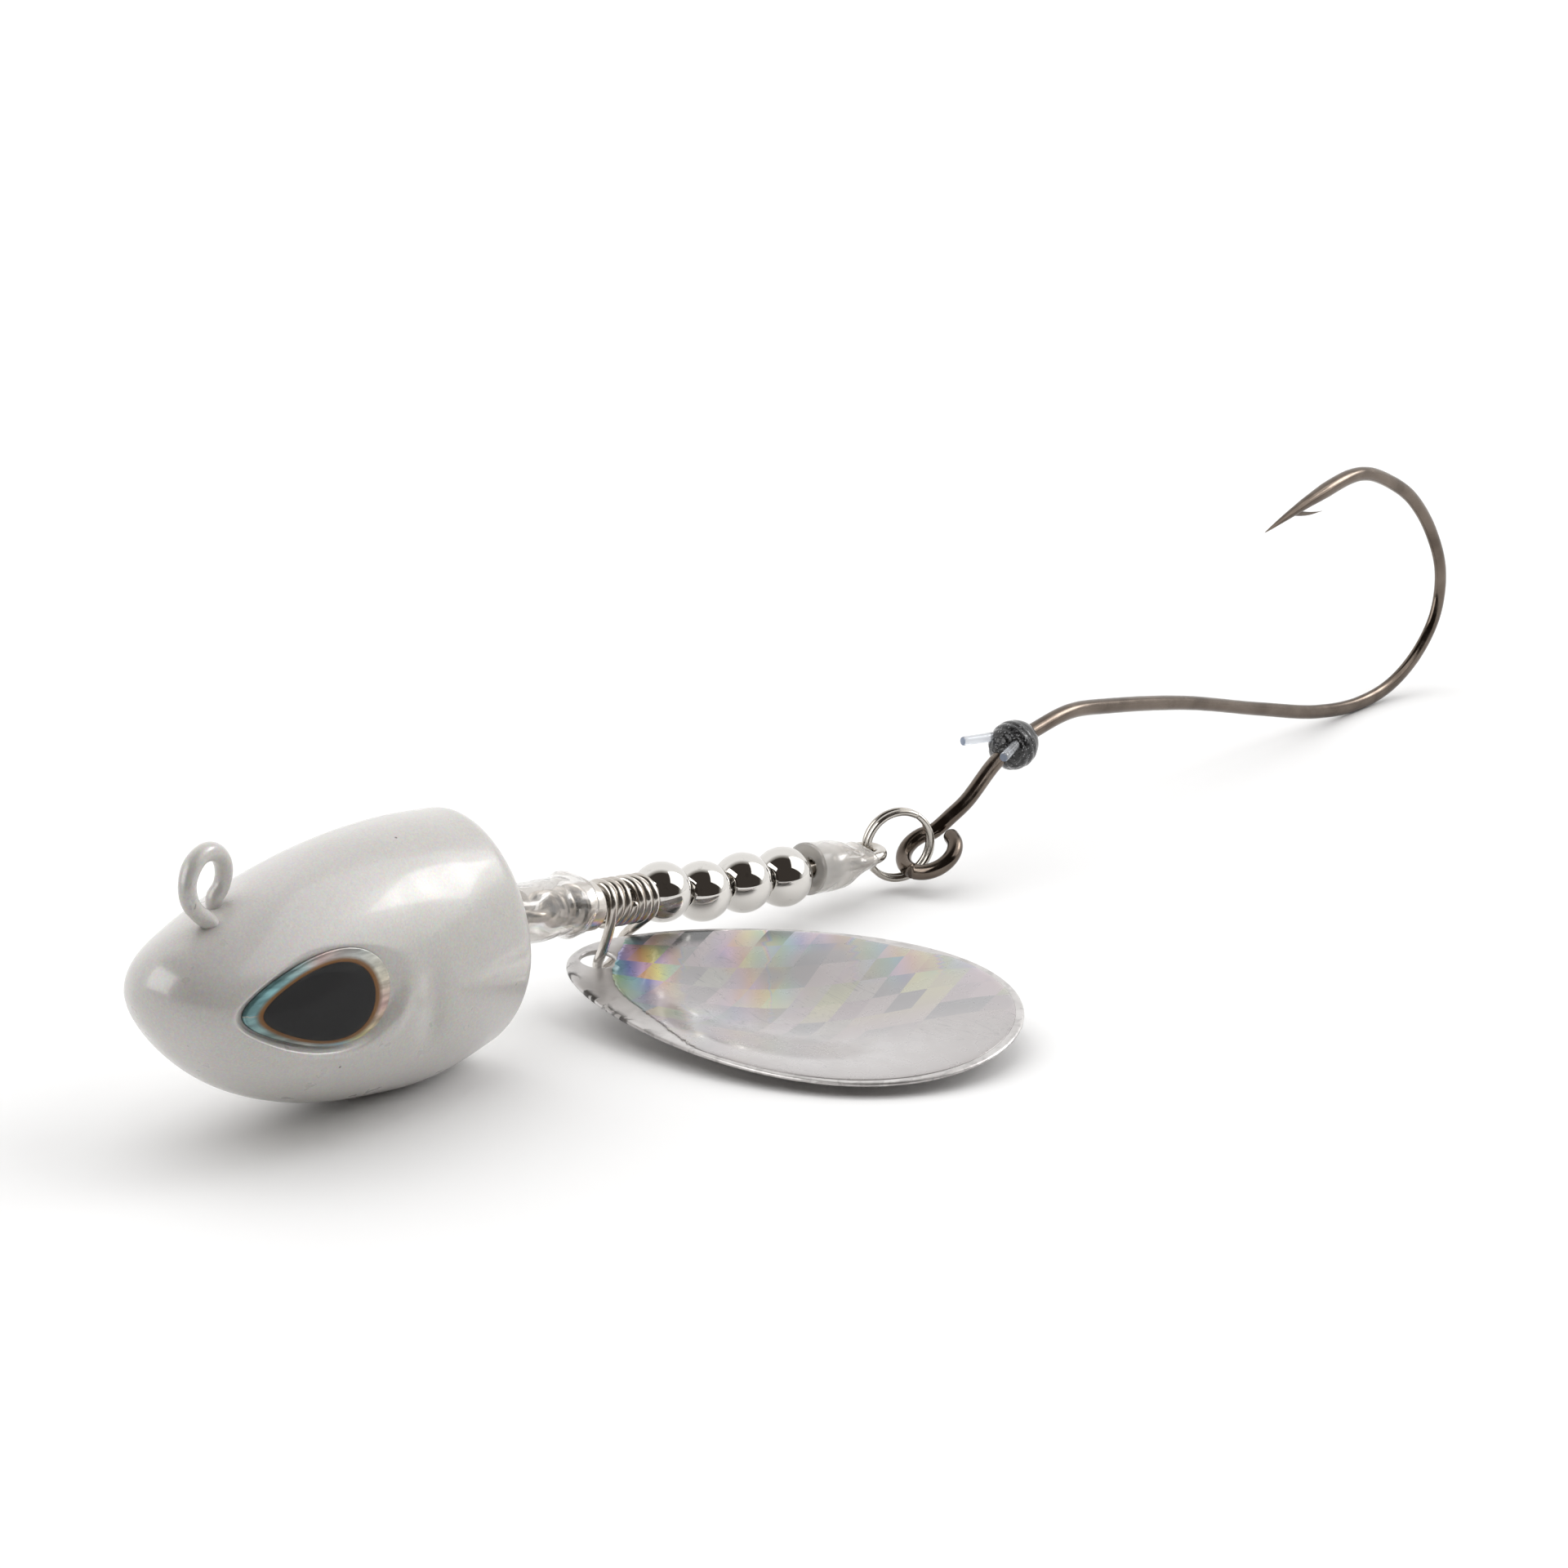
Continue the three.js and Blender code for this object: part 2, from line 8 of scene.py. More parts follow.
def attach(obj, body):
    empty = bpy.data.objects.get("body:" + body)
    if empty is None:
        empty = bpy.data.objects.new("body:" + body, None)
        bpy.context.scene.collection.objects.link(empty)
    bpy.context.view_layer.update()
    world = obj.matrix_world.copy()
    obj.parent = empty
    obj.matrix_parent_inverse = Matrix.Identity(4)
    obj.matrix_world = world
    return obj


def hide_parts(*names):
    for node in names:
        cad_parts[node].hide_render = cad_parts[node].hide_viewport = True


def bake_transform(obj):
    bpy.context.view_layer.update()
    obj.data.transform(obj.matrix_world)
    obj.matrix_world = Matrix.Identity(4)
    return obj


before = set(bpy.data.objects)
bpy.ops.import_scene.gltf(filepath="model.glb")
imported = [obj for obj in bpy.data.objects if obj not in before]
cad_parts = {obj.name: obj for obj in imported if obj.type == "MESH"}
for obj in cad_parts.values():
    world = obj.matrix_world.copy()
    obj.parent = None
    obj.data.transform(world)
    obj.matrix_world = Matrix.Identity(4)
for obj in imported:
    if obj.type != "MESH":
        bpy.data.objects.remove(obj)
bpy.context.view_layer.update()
MM = 0.001
rng = np.random.default_rng(7)

# ---- camera, light and table ----
CAMERA_PLACE = (-0.42975, -0.40477, 0.22199)
CAMERA_AZIMUTH = 49.0
CAMERA_ELEVATION = 19.0
CAMERA_LENS = 234.6
SENSOR_WIDTH = 36.0
CLIP_NEAR, CLIP_FAR = 0.01, 50
LIGHT_TARGET = (0.03, 0, 0.005)
WORLD_STRENGTH = 1.13
DARK_PATCH_DIRECTION = (-0.62, -0.54, 0.42)


def direction(azimuth, elevation):
    """The unit vector that looks along an azimuth from +Y and down by an elevation, both in degrees."""
    a, e = math.radians(azimuth), math.radians(elevation)
    return Vector((math.sin(a) * math.cos(e), math.cos(a) * math.cos(e), -math.sin(e)))


camera_data = bpy.data.cameras.new("camera")
camera_data.lens = CAMERA_LENS
camera_data.sensor_width = SENSOR_WIDTH
camera_data.clip_start = CLIP_NEAR
camera_data.clip_end = CLIP_FAR
camera = bpy.data.objects.new("camera", camera_data)
bpy.context.scene.collection.objects.link(camera)
camera.location = CAMERA_PLACE
camera.rotation_mode = "QUATERNION"
camera.rotation_quaternion = direction(CAMERA_AZIMUTH, CAMERA_ELEVATION).to_track_quat("-Z", "Y")
bpy.context.scene.camera = camera
bpy.context.scene.view_settings.view_transform = "Standard"


def area_light(name, place, size, watts, turn=0.0, glossy=True, diffuse=True):
    """A square light that faces the middle of the lure."""
    data = bpy.data.lights.new(name, "AREA")
    data.shape = "SQUARE"
    data.size = size
    data.energy = watts
    light = bpy.data.objects.new(name, data)
    bpy.context.scene.collection.objects.link(light)
    aim = Vector(LIGHT_TARGET) - Vector(place)
    spin = Matrix.Rotation(math.radians(turn), 4, "Z")
    light.matrix_world = Matrix.Translation(place) @ aim.to_track_quat("-Z", "Y").to_matrix().to_4x4() @ spin
    light.visible_glossy = glossy
    light.visible_diffuse = diffuse


area_light("softbox", (0.58, -0.50, 0.64), 0.9, 4.2, turn=20)
area_light("key", (0.72, -0.40, 0.52), 0.32, 1.9, turn=20, diffuse=False)
area_light("snout_window", (-0.49, 0.19, 0.32), 0.55, 3.2, diffuse=False)
area_light("overhead", (-0.12, 0.42, 1.15), 1.9, 13.0, glossy=False)

world = bpy.data.worlds.new("studio")
bpy.context.scene.world = world
world.use_nodes = True


def link(tree, a, b):
    tree.links.new(a, b)


def build_world():
    """A bright room with one dark patch above and behind the camera, for the metal to mirror."""
    tree = world.node_tree
    background = tree.nodes["Background"]
    coordinate = tree.nodes.new("ShaderNodeTexCoord")
    dot = tree.nodes.new("ShaderNodeVectorMath")
    dot.operation = "DOT_PRODUCT"
    dot.inputs[1].default_value = Vector(DARK_PATCH_DIRECTION).normalized()
    ramp = tree.nodes.new("ShaderNodeValToRGB")
    stops = ramp.color_ramp.elements
    stops[0].position = 0.04
    stops[0].color = (1.0, 1.0, 1.0, 1)
    stops[1].position = 0.38
    stops[1].color = (0.05, 0.043, 0.038, 1)
    middle = stops.new(0.26)
    middle.color = (0.36, 0.35, 0.33, 1)
    link(tree, coordinate.outputs["Generated"], dot.inputs[0])
    link(tree, dot.outputs["Value"], ramp.inputs["Fac"])
    link(tree, ramp.outputs["Color"], background.inputs["Color"])
    background.inputs["Strength"].default_value = WORLD_STRENGTH


build_world()


# ---- mesh helpers ----
def mesh_object(name, points, faces, material):
    """A mesh from points in millimetres."""
    mesh = bpy.data.meshes.new(name)
    mesh.from_pydata([tuple(p) for p in np.asarray(points, float) * MM], [], faces)
    mesh.validate()
    bm = bmesh.new()
    bm.from_mesh(mesh)
    bmesh.ops.remove_doubles(bm, verts=bm.verts, dist=1e-7)
    bmesh.ops.recalc_face_normals(bm, faces=bm.faces)
    bm.to_mesh(mesh)
    bm.free()
    mesh.polygons.foreach_set("use_smooth", [True] * len(mesh.polygons))
    mesh.materials.append(material)
    made = bpy.data.objects.new(name, mesh)
    bpy.context.scene.collection.objects.link(made)
    return made


def grid_faces(rows, columns, closed):
    """Quads of a grid whose rows close round on themselves, and whose columns may close too."""
    faces = []
    for i in range(rows if closed else rows - 1):
        for k in range(columns):
            a, b = i * columns + k, i * columns + (k + 1) % columns
            c, d = ((i + 1) % rows) * columns + (k + 1) % columns, ((i + 1) % rows) * columns + k
            faces.append((a, b, c, d))
    return faces


def ring_mesh(name, rings, material, closed=False):
    """A skin over rings of points, capped at both ends unless it is closed."""
    rows, columns = rings.shape[:2]
    faces = grid_faces(rows, columns, closed)
    if not closed:
        faces.append(tuple(range(columns))[::-1])
        faces.append(tuple(range((rows - 1) * columns, rows * columns)))
    return mesh_object(name, rings.reshape(-1, 3), faces, material)


def smooth_path(points, step):
    """Points about a step apart on the centripetal curve through the given points."""
    p = np.array(points, float)
    p = np.vstack([2 * p[0] - p[1], p, 2 * p[-1] - p[-2]])
    made = []
    for i in range(1, len(p) - 2):
        a, b, c, d = p[i - 1:i + 3]
        gaps = [max(np.linalg.norm(q - r) ** 0.5, 1e-4) for q, r in ((b, a), (c, b), (d, c))]
        start = ((b - a) / gaps[0] - (c - a) / (gaps[0] + gaps[1]) + (c - b) / gaps[1]) * gaps[1]
        end = ((c - b) / gaps[1] - (d - b) / (gaps[1] + gaps[2]) + (d - c) / gaps[2]) * gaps[1]
        count = max(int(math.ceil(np.linalg.norm(c - b) / step)), 1)
        for t in np.arange(count) / count:
            made.append(
                b + start * t + (-3 * b + 3 * c - 2 * start - end) * t ** 2
                + (2 * b - 2 * c + start + end) * t ** 3
            )
    return np.array(made + [p[-2]])


def unit(v):
    return v / np.maximum(np.linalg.norm(v, axis=-1, keepdims=True), 1e-12)


def swept(name, path, radius, material, sides=20, side=None, shape=None, round_ends=True):
    """A wire along a path. shape(part, length) gives its width along side and its thickness, as factors."""
    tangent = unit(np.gradient(path, axis=0))
    if side is None:
        across = unit(np.cross(tangent[0], [0.31, 0.17, 0.93]))
        frames = []
        for t in tangent:
            across = unit(across - t * np.dot(across, t))
            frames.append(across)
        first = np.array(frames)
    else:
        first = unit(np.array(side, float) - tangent * (tangent @ np.array(side, float))[:, None])
    second = np.cross(tangent, first)
    lengths = np.concatenate([[0], np.cumsum(np.linalg.norm(np.diff(path, axis=0), axis=1))])
    angles = np.arange(sides) * 2 * np.pi / sides
    rings = []
    for i, centre in enumerate(path):
        wide, thick = shape(lengths[i] / lengths[-1], lengths[i]) if shape else (1.0, 1.0)
        spread = wide * np.outer(np.cos(angles), first[i]) + thick * np.outer(np.sin(angles), second[i])
        rings.append(centre + radius * spread)
    if round_ends:
        caps = [(0.35, 0.93), (0.7, 0.7), (0.93, 0.35)]
        lead = [path[0] + (rings[0] - path[0]) * s - tangent[0] * radius * r for r, s in caps]
        tail = [path[-1] + (rings[-1] - path[-1]) * s + tangent[-1] * radius * r for r, s in caps]
        rings = lead[::-1] + rings + tail
    return ring_mesh(name, np.array(rings), material)


def turned(name, profile, material, place, segments=64):
    """A lathe of a closed [radius, x] profile round the local X axis, placed by a function of points."""
    profile = np.array(profile, float)
    angles = np.arange(segments) * 2 * np.pi / segments
    rings = np.stack([
        np.stack([np.full(segments, x), r * np.cos(angles), r * np.sin(angles)], 1) for r, x in profile
    ])
    return ring_mesh(name, place(rings), material, closed=True)


def smoothstep(value, low, high):
    t = np.clip((np.asarray(value, float) - low) / (high - low), 0, 1)
    return t * t * (3 - 2 * t)


def bell(value, middle, width):
    return np.exp(-((np.asarray(value, float) - middle) / width) ** 2)


def attribute(piece, name, values):
    """A named number on each vertex, for the materials to read."""
    layer = piece.data.attributes.new(name, "FLOAT", "POINT")
    layer.data.foreach_set("value", np.asarray(values, np.float32))


def vertices_of(piece):
    points = np.zeros(len(piece.data.vertices) * 3)
    piece.data.vertices.foreach_get("co", points)
    return points.reshape(-1, 3) / MM


def carve(piece, cutter, operation):
    """Cuts or keeps what a closed cutter covers, and applies the result."""
    modifier = piece.modifiers.new("cut", "BOOLEAN")
    modifier.object = cutter
    modifier.operation = operation
    modifier.solver = "EXACT"
    done = bpy.data.meshes.new_from_object(piece.evaluated_get(bpy.context.evaluated_depsgraph_get()))
    piece.modifiers.clear()
    piece.data = done
    bpy.data.objects.remove(cutter)


# ---- material helpers ----
def new_material(name, color, metallic=0.0, roughness=0.3, **sockets):
    made = bpy.data.materials.new(name)
    made.use_nodes = True
    shader = made.node_tree.nodes["Principled BSDF"]
    shader.inputs["Base Color"].default_value = (*color, 1)
    shader.inputs["Metallic"].default_value = metallic
    shader.inputs["Roughness"].default_value = roughness
    for socket, value in sockets.items():
        shader.inputs[socket.replace("_", " ")].default_value = value
    return made


class Nodes:
    """Short ways to add shader nodes to a material."""

    def __init__(self, material):
        self.tree = material.node_tree
        self.shader = self.tree.nodes["Principled BSDF"]
        self.coordinates = self.tree.nodes.new("ShaderNodeTexCoord").outputs["Object"]

    def noise(self, scale, detail=3.0, stretch=(1, 1, 1), distortion=0.0):
        """Noise with its scale in cycles per metre."""
        mapping = self.tree.nodes.new("ShaderNodeMapping")
        mapping.inputs["Scale"].default_value = stretch
        link(self.tree, self.coordinates, mapping.inputs["Vector"])
        made = self.tree.nodes.new("ShaderNodeTexNoise")
        made.inputs["Scale"].default_value = scale
        made.inputs["Detail"].default_value = detail
        made.inputs["Distortion"].default_value = distortion
        link(self.tree, mapping.outputs["Vector"], made.inputs["Vector"])
        return made.outputs["Fac"]

    def cells(self, scale, output="Distance"):
        made = self.tree.nodes.new("ShaderNodeTexVoronoi")
        made.inputs["Scale"].default_value = scale
        link(self.tree, self.coordinates, made.inputs["Vector"])
        return made.outputs[output]

    def value(self, name):
        made = self.tree.nodes.new("ShaderNodeAttribute")
        made.attribute_name = name
        return made.outputs["Fac"]

    def math(self, operation, a, b=0.0, c=0.0):
        made = self.tree.nodes.new("ShaderNodeMath")
        made.operation = operation
        for socket, entry in zip(made.inputs, (a, b, c)):
            if isinstance(entry, (int, float)):
                socket.default_value = entry
            else:
                link(self.tree, entry, socket)
        return made.outputs[0]

    def ramp(self, value, stops):
        made = self.tree.nodes.new("ShaderNodeValToRGB")
        elements = made.color_ramp.elements
        while len(elements) < len(stops):
            elements.new(0.5)
        for element, (position, color) in zip(elements, stops):
            element.position = position
            element.color = (*color, 1) if hasattr(color, "__len__") else (color, color, color, 1)
        link(self.tree, value, made.inputs["Fac"])
        return made.outputs["Color"]

    def mix(self, factor, a, b, blend="MIX"):
        made = self.tree.nodes.new("ShaderNodeMix")
        made.data_type = "RGBA"
        made.blend_type = blend
        for socket, entry in ((made.inputs[0], factor), (made.inputs[6], a), (made.inputs[7], b)):
            if isinstance(entry, (int, float)):
                socket.default_value = entry
            elif isinstance(entry, tuple):
                socket.default_value = (*entry, 1)
            else:
                link(self.tree, entry, socket)
        return made.outputs[2]

    def bump(self, height, distance, strength=1.0, below=None):
        """Bump with its height in millimetres."""
        made = self.tree.nodes.new("ShaderNodeBump")
        made.inputs["Distance"].default_value = distance * MM
        made.inputs["Strength"].default_value = strength
        link(self.tree, height, made.inputs["Height"])
        if below:
            link(self.tree, below, made.inputs["Normal"])
        return made.outputs["Normal"]

    def to(self, socket, value):
        link(self.tree, value, self.shader.inputs[socket])


# ---- materials ----
def pearl_lacquer(name, base, chips=0.0):
    """Pearl lacquer over cast metal: warm grey-white with a faint shimmer, pits, dust and a clear coat."""
    made = new_material(
        name, base, metallic=0.06, roughness=0.36, Coat_Weight=0.5, Coat_Roughness=0.08, Coat_IOR=1.45,
        Specular_IOR_Level=0.45,
    )
    n = Nodes(made)
    broad = n.noise(95, 2.0, (0.7, 1, 1.2))
    color = n.mix(n.ramp(broad, [(0.35, 0.0), (0.7, 1.0)]), (0.525, 0.510, 0.480), (0.585, 0.560, 0.548))
    flakes = n.cells(9000, "Color")
    color = n.mix(0.10, color, flakes, "OVERLAY")
    pits = n.cells(560)
    chosen = n.ramp(n.cells(560, "Color"), [(0.66, 0.0), (0.68, 1.0)])
    dots = n.math("MULTIPLY", n.ramp(pits, [(0.03, 1.0), (0.065, 0.0)]), chosen)
    color = n.mix(dots, color, (0.12, 0.10, 0.09))
    if chips:
        bare = n.ramp(n.noise(900, 4.0, distortion=1.0), [(0.60, 0.0), (0.64, 1.0)])
        bare = n.math("MULTIPLY", bare, n.value("chip"))
        color = n.mix(bare, color, (0.10, 0.09, 0.08))
    n.to("Base Color", color)
    peel = n.bump(n.noise(700, 2.0), 0.02, 0.35)
    n.to("Normal", n.bump(dots, 0.02, 0.3, below=peel))
    n.to("Roughness", n.ramp(n.noise(420, 4.0), [(0.3, 0.26), (0.7, 0.4)]))
    return made


def metal(name, light, dark, roughness, scale=380, scratch=0.25):
    """Plated or drawn wire with tarnish patches and fine scratches."""
    made = new_material(name, light, metallic=1.0, roughness=roughness)
    n = Nodes(made)
    patches = n.ramp(n.noise(scale, 5.0, distortion=0.6), [(0.36, 0.0), (0.68, 1.0)])
    n.to("Base Color", n.mix(patches, dark, light))
    worn = min(roughness * 2.0, 1.0)
    n.to("Roughness", n.ramp(n.noise(scale * 4, 4.0), [(0.3, roughness * 0.6), (0.75, worn)]))
    n.to("Normal", n.bump(n.noise(scale * 6, 3.0, (0.25, 1, 1)), 0.012, scratch))
    return made


def chrome():
    made = new_material("bead_chrome", (0.66, 0.64, 0.61), metallic=1.0, roughness=0.03)
    n = Nodes(made)
    dust = n.ramp(n.noise(1500, 3.0), [(0.62, 0.0), (0.78, 1.0)])
    n.to("Base Color", n.mix(dust, (0.66, 0.64, 0.61), (0.50, 0.48, 0.455)))
    n.to("Roughness", n.ramp(n.noise(600, 4.0), [(0.4, 0.02), (0.8, 0.09)]))
    return made


def clear_plastic(name, color, roughness, milk, ridges):
    """Clear tube or nylon: see-through, a little milky, with fine wrinkles in its surface."""
    made = new_material(
        name, color, roughness=roughness, Transmission_Weight=1.0 - milk, IOR=1.16, Coat_Weight=0.9,
        Coat_Roughness=0.05,
    )
    n = Nodes(made)
    cloud = n.noise(330, 3.0)
    darker = tuple(c * 0.8 for c in color)
    n.to("Base Color", n.mix(n.ramp(cloud, [(0.35, 0.0), (0.7, 1.0)]), darker, color))
    n.to("Transmission Weight", n.math("SUBTRACT", 1.0 - milk, n.math("MULTIPLY", n.value("cloud"), 0.15)))
    n.to("Normal", n.bump(n.noise(420, 2.0, (1.6, 1, 1), 0.5), 0.06, ridges))
    n.to("Roughness", n.ramp(n.noise(500, 2.0), [(0.3, roughness * 0.6), (0.8, roughness * 1.8)]))
    return made


def iris_material():
    """Printed foil: black teardrop pupil, thin copper ring, then a rainbow-silver band."""
    made = new_material(
        "iris_foil", (0.3, 0.35, 0.35), metallic=0.0, roughness=0.3, Specular_IOR_Level=0.0, Coat_Weight=1.0,
        Coat_Roughness=0.02, Coat_IOR=1.32,
    )
    n = Nodes(made)
    turn = n.math("ADD", n.value("turn"), n.math("MULTIPLY", n.noise(300, 2.0), 0.10))
    rainbow = n.ramp(turn, [
        (0.02, (0.22, 0.42, 0.44)), (0.14, (0.30, 0.36, 0.33)), (0.26, (0.45, 0.45, 0.42)),
        (0.38, (0.30, 0.48, 0.52)), (0.44, (0.55, 0.52, 0.25)), (0.50, (0.62, 0.42, 0.38)),
        (0.57, (0.66, 0.62, 0.50)), (0.66, (0.50, 0.52, 0.50)), (0.78, (0.55, 0.42, 0.40)),
        (0.86, (0.40, 0.52, 0.52)), (0.98, (0.22, 0.42, 0.44)),
    ])
    fine = n.ramp(n.noise(1200, 4.0, (0.4, 0.4, 2.0)), [(0.35, 0.55), (0.7, 1.15)])
    band = n.mix(1.0, rainbow, fine, "MULTIPLY")
    pupil = n.value("pupil")
    inner = n.ramp(pupil, [
        (0.46, (0.006, 0.006, 0.006)), (0.497, (0.008, 0.006, 0.005)), (0.503, (0.16, 0.07, 0.02)),
        (0.535, (0.20, 0.10, 0.04)), (0.56, (0.10, 0.07, 0.04)),
    ])
    outside = n.ramp(pupil, [(0.53, 0.0), (0.575, 1.0)])
    n.to("Base Color", n.mix(outside, inner, band))
    n.to("Metallic", n.ramp(pupil, [(0.53, 0.0), (0.575, 0.55)]))
    return made


def tape_material():
    """Prismatic film: slanted facets with their own tints, vivid painted iridescent flashes near the hole,
    painted dark reflections on facets by the rim near the hole, with fine scratches.
    """
    made = new_material(
        "prism_tape", (0.6, 0.57, 0.58), metallic=0.35, roughness=0.3, Coat_Weight=0.8, Coat_Roughness=0.12,
    )
    n = Nodes(made)
    tree = n.tree
    uv = tree.nodes.new("ShaderNodeUVMap")
    uv.uv_map = "facets"
    floor_node = tree.nodes.new("ShaderNodeVectorMath")
    floor_node.operation = "FLOOR"
    link(tree, uv.outputs["UV"], floor_node.inputs[0])
    chance = tree.nodes.new("ShaderNodeTexWhiteNoise")
    chance.noise_dimensions = "2D"
    link(tree, floor_node.outputs[0], chance.inputs["Vector"])
    pale = n.ramp(chance.outputs["Value"], [
        (0.0, (0.34, 0.335, 0.345)), (0.3, (0.37, 0.355, 0.36)), (0.5, (0.42, 0.385, 0.395)),
        (0.75, (0.47, 0.42, 0.435)), (1.0, (0.42, 0.42, 0.395)),
    ])
    hue_shift = n.math("MULTIPLY", chance.outputs["Value"], 0.5)
    hue = n.ramp(n.math("FRACT", n.math("ADD", n.value("hue"), hue_shift)), [
        (0.0, (0.62, 0.34, 0.16)), (0.17, (0.66, 0.60, 0.18)), (0.34, (0.30, 0.55, 0.28)),
        (0.5, (0.22, 0.50, 0.55)), (0.66, (0.20, 0.24, 0.55)), (0.83, (0.62, 0.40, 0.58)),
        (1.0, (0.62, 0.34, 0.16)),
    ])
    # painted iridescent flashes: vivid rainbow tints near the hole, standing in for light that the facets
    # throw back
    vivid = n.math("MULTIPLY", n.value("vivid"), n.ramp(n.noise(170, 2.0), [(0.42, 0.0), (0.62, 1.0)]))
    # painted flashes: a few lighter yellow facets along a band across the film
    second_chance = n.math("FRACT", n.math("MULTIPLY", chance.outputs["Value"], 7.3))
    fleck = n.math("MULTIPLY", n.ramp(second_chance, [(0.66, 0.0), (0.70, 1.0)]), n.value("lively"))
    color = n.mix(n.value("plain"), pale, (0.43, 0.405, 0.40))
    color = n.mix(n.math("MULTIPLY", fleck, 0.5), color, (0.56, 0.56, 0.38))
    color = n.mix(vivid, color, hue)
    # painted dark reflections: some facets by the far rim near the hole are turned nearly black, standing in
    # for the dark room they mirror
    painted_dark_reflection = n.math("MULTIPLY", n.value("dark"), n.ramp(second_chance, [(0.40, 1.0), (0.55, 0.0)]))
    color = n.mix(painted_dark_reflection, color, (0.08, 0.09, 0.09))
    hairline = n.ramp(n.noise(420, 1.0, (2.2, 0.35, 1.0), 2.5), [(0.485, 0.0), (0.5, 1.0), (0.515, 0.0)])
    worn = n.math("MULTIPLY", hairline, n.ramp(n.noise(130, 1.0), [(0.5, 0.0), (0.6, 1.0)]))
    color = n.mix(n.math("MULTIPLY", worn, 0.55), color, (0.20, 0.20, 0.21))
    n.to("Base Color", color)
    n.to("Roughness", n.ramp(n.noise(700, 4.0), [(0.3, 0.2), (0.75, 0.42)]))
    n.to("Normal", n.bump(n.noise(1400, 4.0, (0.2, 1, 1), 0.8), 0.02, 0.35))
    return made


def blade_metal():
    made = new_material("blade_nickel", (0.62, 0.60, 0.59), metallic=0.75, roughness=0.34)
    n = Nodes(made)
    worn = n.ramp(n.noise(500, 5.0, distortion=0.8), [(0.40, 0.0), (0.66, 1.0)])
    color = n.mix(worn, (0.56, 0.54, 0.53), (0.66, 0.64, 0.63))
    flaking = n.ramp(n.noise(850, 4.0, distortion=0.7), [(0.50, 0.0), (0.58, 1.0)])
    chipped = n.math("MULTIPLY", n.value("edge"), flaking)
    n.to("Base Color", n.mix(chipped, color, (0.08, 0.075, 0.07)))
    n.to("Roughness", n.ramp(n.noise(900, 4.0), [(0.3, 0.28), (0.75, 0.44)]))
    scuffs = n.bump(n.noise(1500, 4.0, (0.3, 1, 1), 0.8), 0.012, 0.2)
    n.to("Normal", n.bump(chipped, 0.05, 0.5, below=scuffs))
    return made


def thread_material():
    made = new_material(
        "thread_resin", (0.02, 0.02, 0.022), roughness=0.2, Coat_Weight=0.5, Coat_Roughness=0.04,
        Specular_IOR_Level=0.25,
    )
    n = Nodes(made)
    thread = n.ramp(n.noise(900, 4.0), [(0.35, (0.005, 0.005, 0.005)), (0.75, (0.022, 0.022, 0.024))])
    glint = n.math("MULTIPLY", n.ramp(n.cells(5000), [(0.16, 1.0), (0.26, 0.0)]), n.value("beady"))
    n.to("Base Color", n.mix(glint, thread, (0.30, 0.30, 0.31)))
    beads = n.math("MULTIPLY", n.ramp(n.cells(5000), [(0.15, 1.0), (0.6, 0.0)]), n.value("beady"))
    n.to("Normal", n.bump(beads, 0.06, 0.9, below=n.bump(n.noise(1300, 3.0), 0.03, 0.4)))
    return made


PEARL = pearl_lacquer("pearl_lacquer", (0.66, 0.64, 0.6))
PEARL_CHIPPED = pearl_lacquer("pearl_chipped", (0.66, 0.64, 0.6), chips=1.0)
NICKEL = metal("bright_wire", (0.68, 0.65, 0.61), (0.46, 0.42, 0.375), 0.16)
RING_NICKEL = metal("ring_nickel", (0.60, 0.57, 0.53), (0.40, 0.37, 0.33), 0.18)
BLACK_NICKEL = metal("black_nickel", (0.19, 0.155, 0.128), (0.11, 0.088, 0.072), 0.15, 300, 0.15)
CHROME = chrome()
FRONT_CLEAR = clear_plastic("front_tube_clear", (0.92, 0.90, 0.875), 0.07, 0.10, 0.3)
REAR_CLEAR = clear_plastic("rear_tube_clear", (0.90, 0.875, 0.84), 0.10, 0.26, 0.4)
NYLON = clear_plastic("nylon_clear", (0.86, 0.89, 0.94), 0.16, 0.2, 0.5)
NYLON_END = metal("nylon_cut", (0.34, 0.38, 0.46), (0.22, 0.25, 0.31), 0.5)
RESIN = new_material("eye_resin", (1, 1, 1), roughness=0.01, Transmission_Weight=1.0, IOR=1.12)
IRIS = iris_material()
TAPE = tape_material()
BLADE = blade_metal()
THREAD = thread_material()


def finish_piece(piece, body, nodes=()):
    """Puts a piece on its body, and hides the nodes it replaces."""
    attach(piece, body)
    if nodes:
        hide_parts(*nodes)


# ---- the table ----
TABLE_REACH = 20.0
table_mesh = bpy.data.meshes.new("table")
table_corners = [(x * TABLE_REACH, y * TABLE_REACH, 0) for x, y in ((-1, -1), (1, -1), (1, 1), (-1, 1))]
table_mesh.from_pydata(table_corners, [], [(0, 1, 2, 3)])
table_white = new_material("table_white", (0.93, 0.93, 0.93), roughness=0.75, Specular_IOR_Level=0.2)
table_mesh.materials.append(table_white)
table = bpy.data.objects.new("table", table_mesh)
bpy.context.scene.collection.objects.link(table)


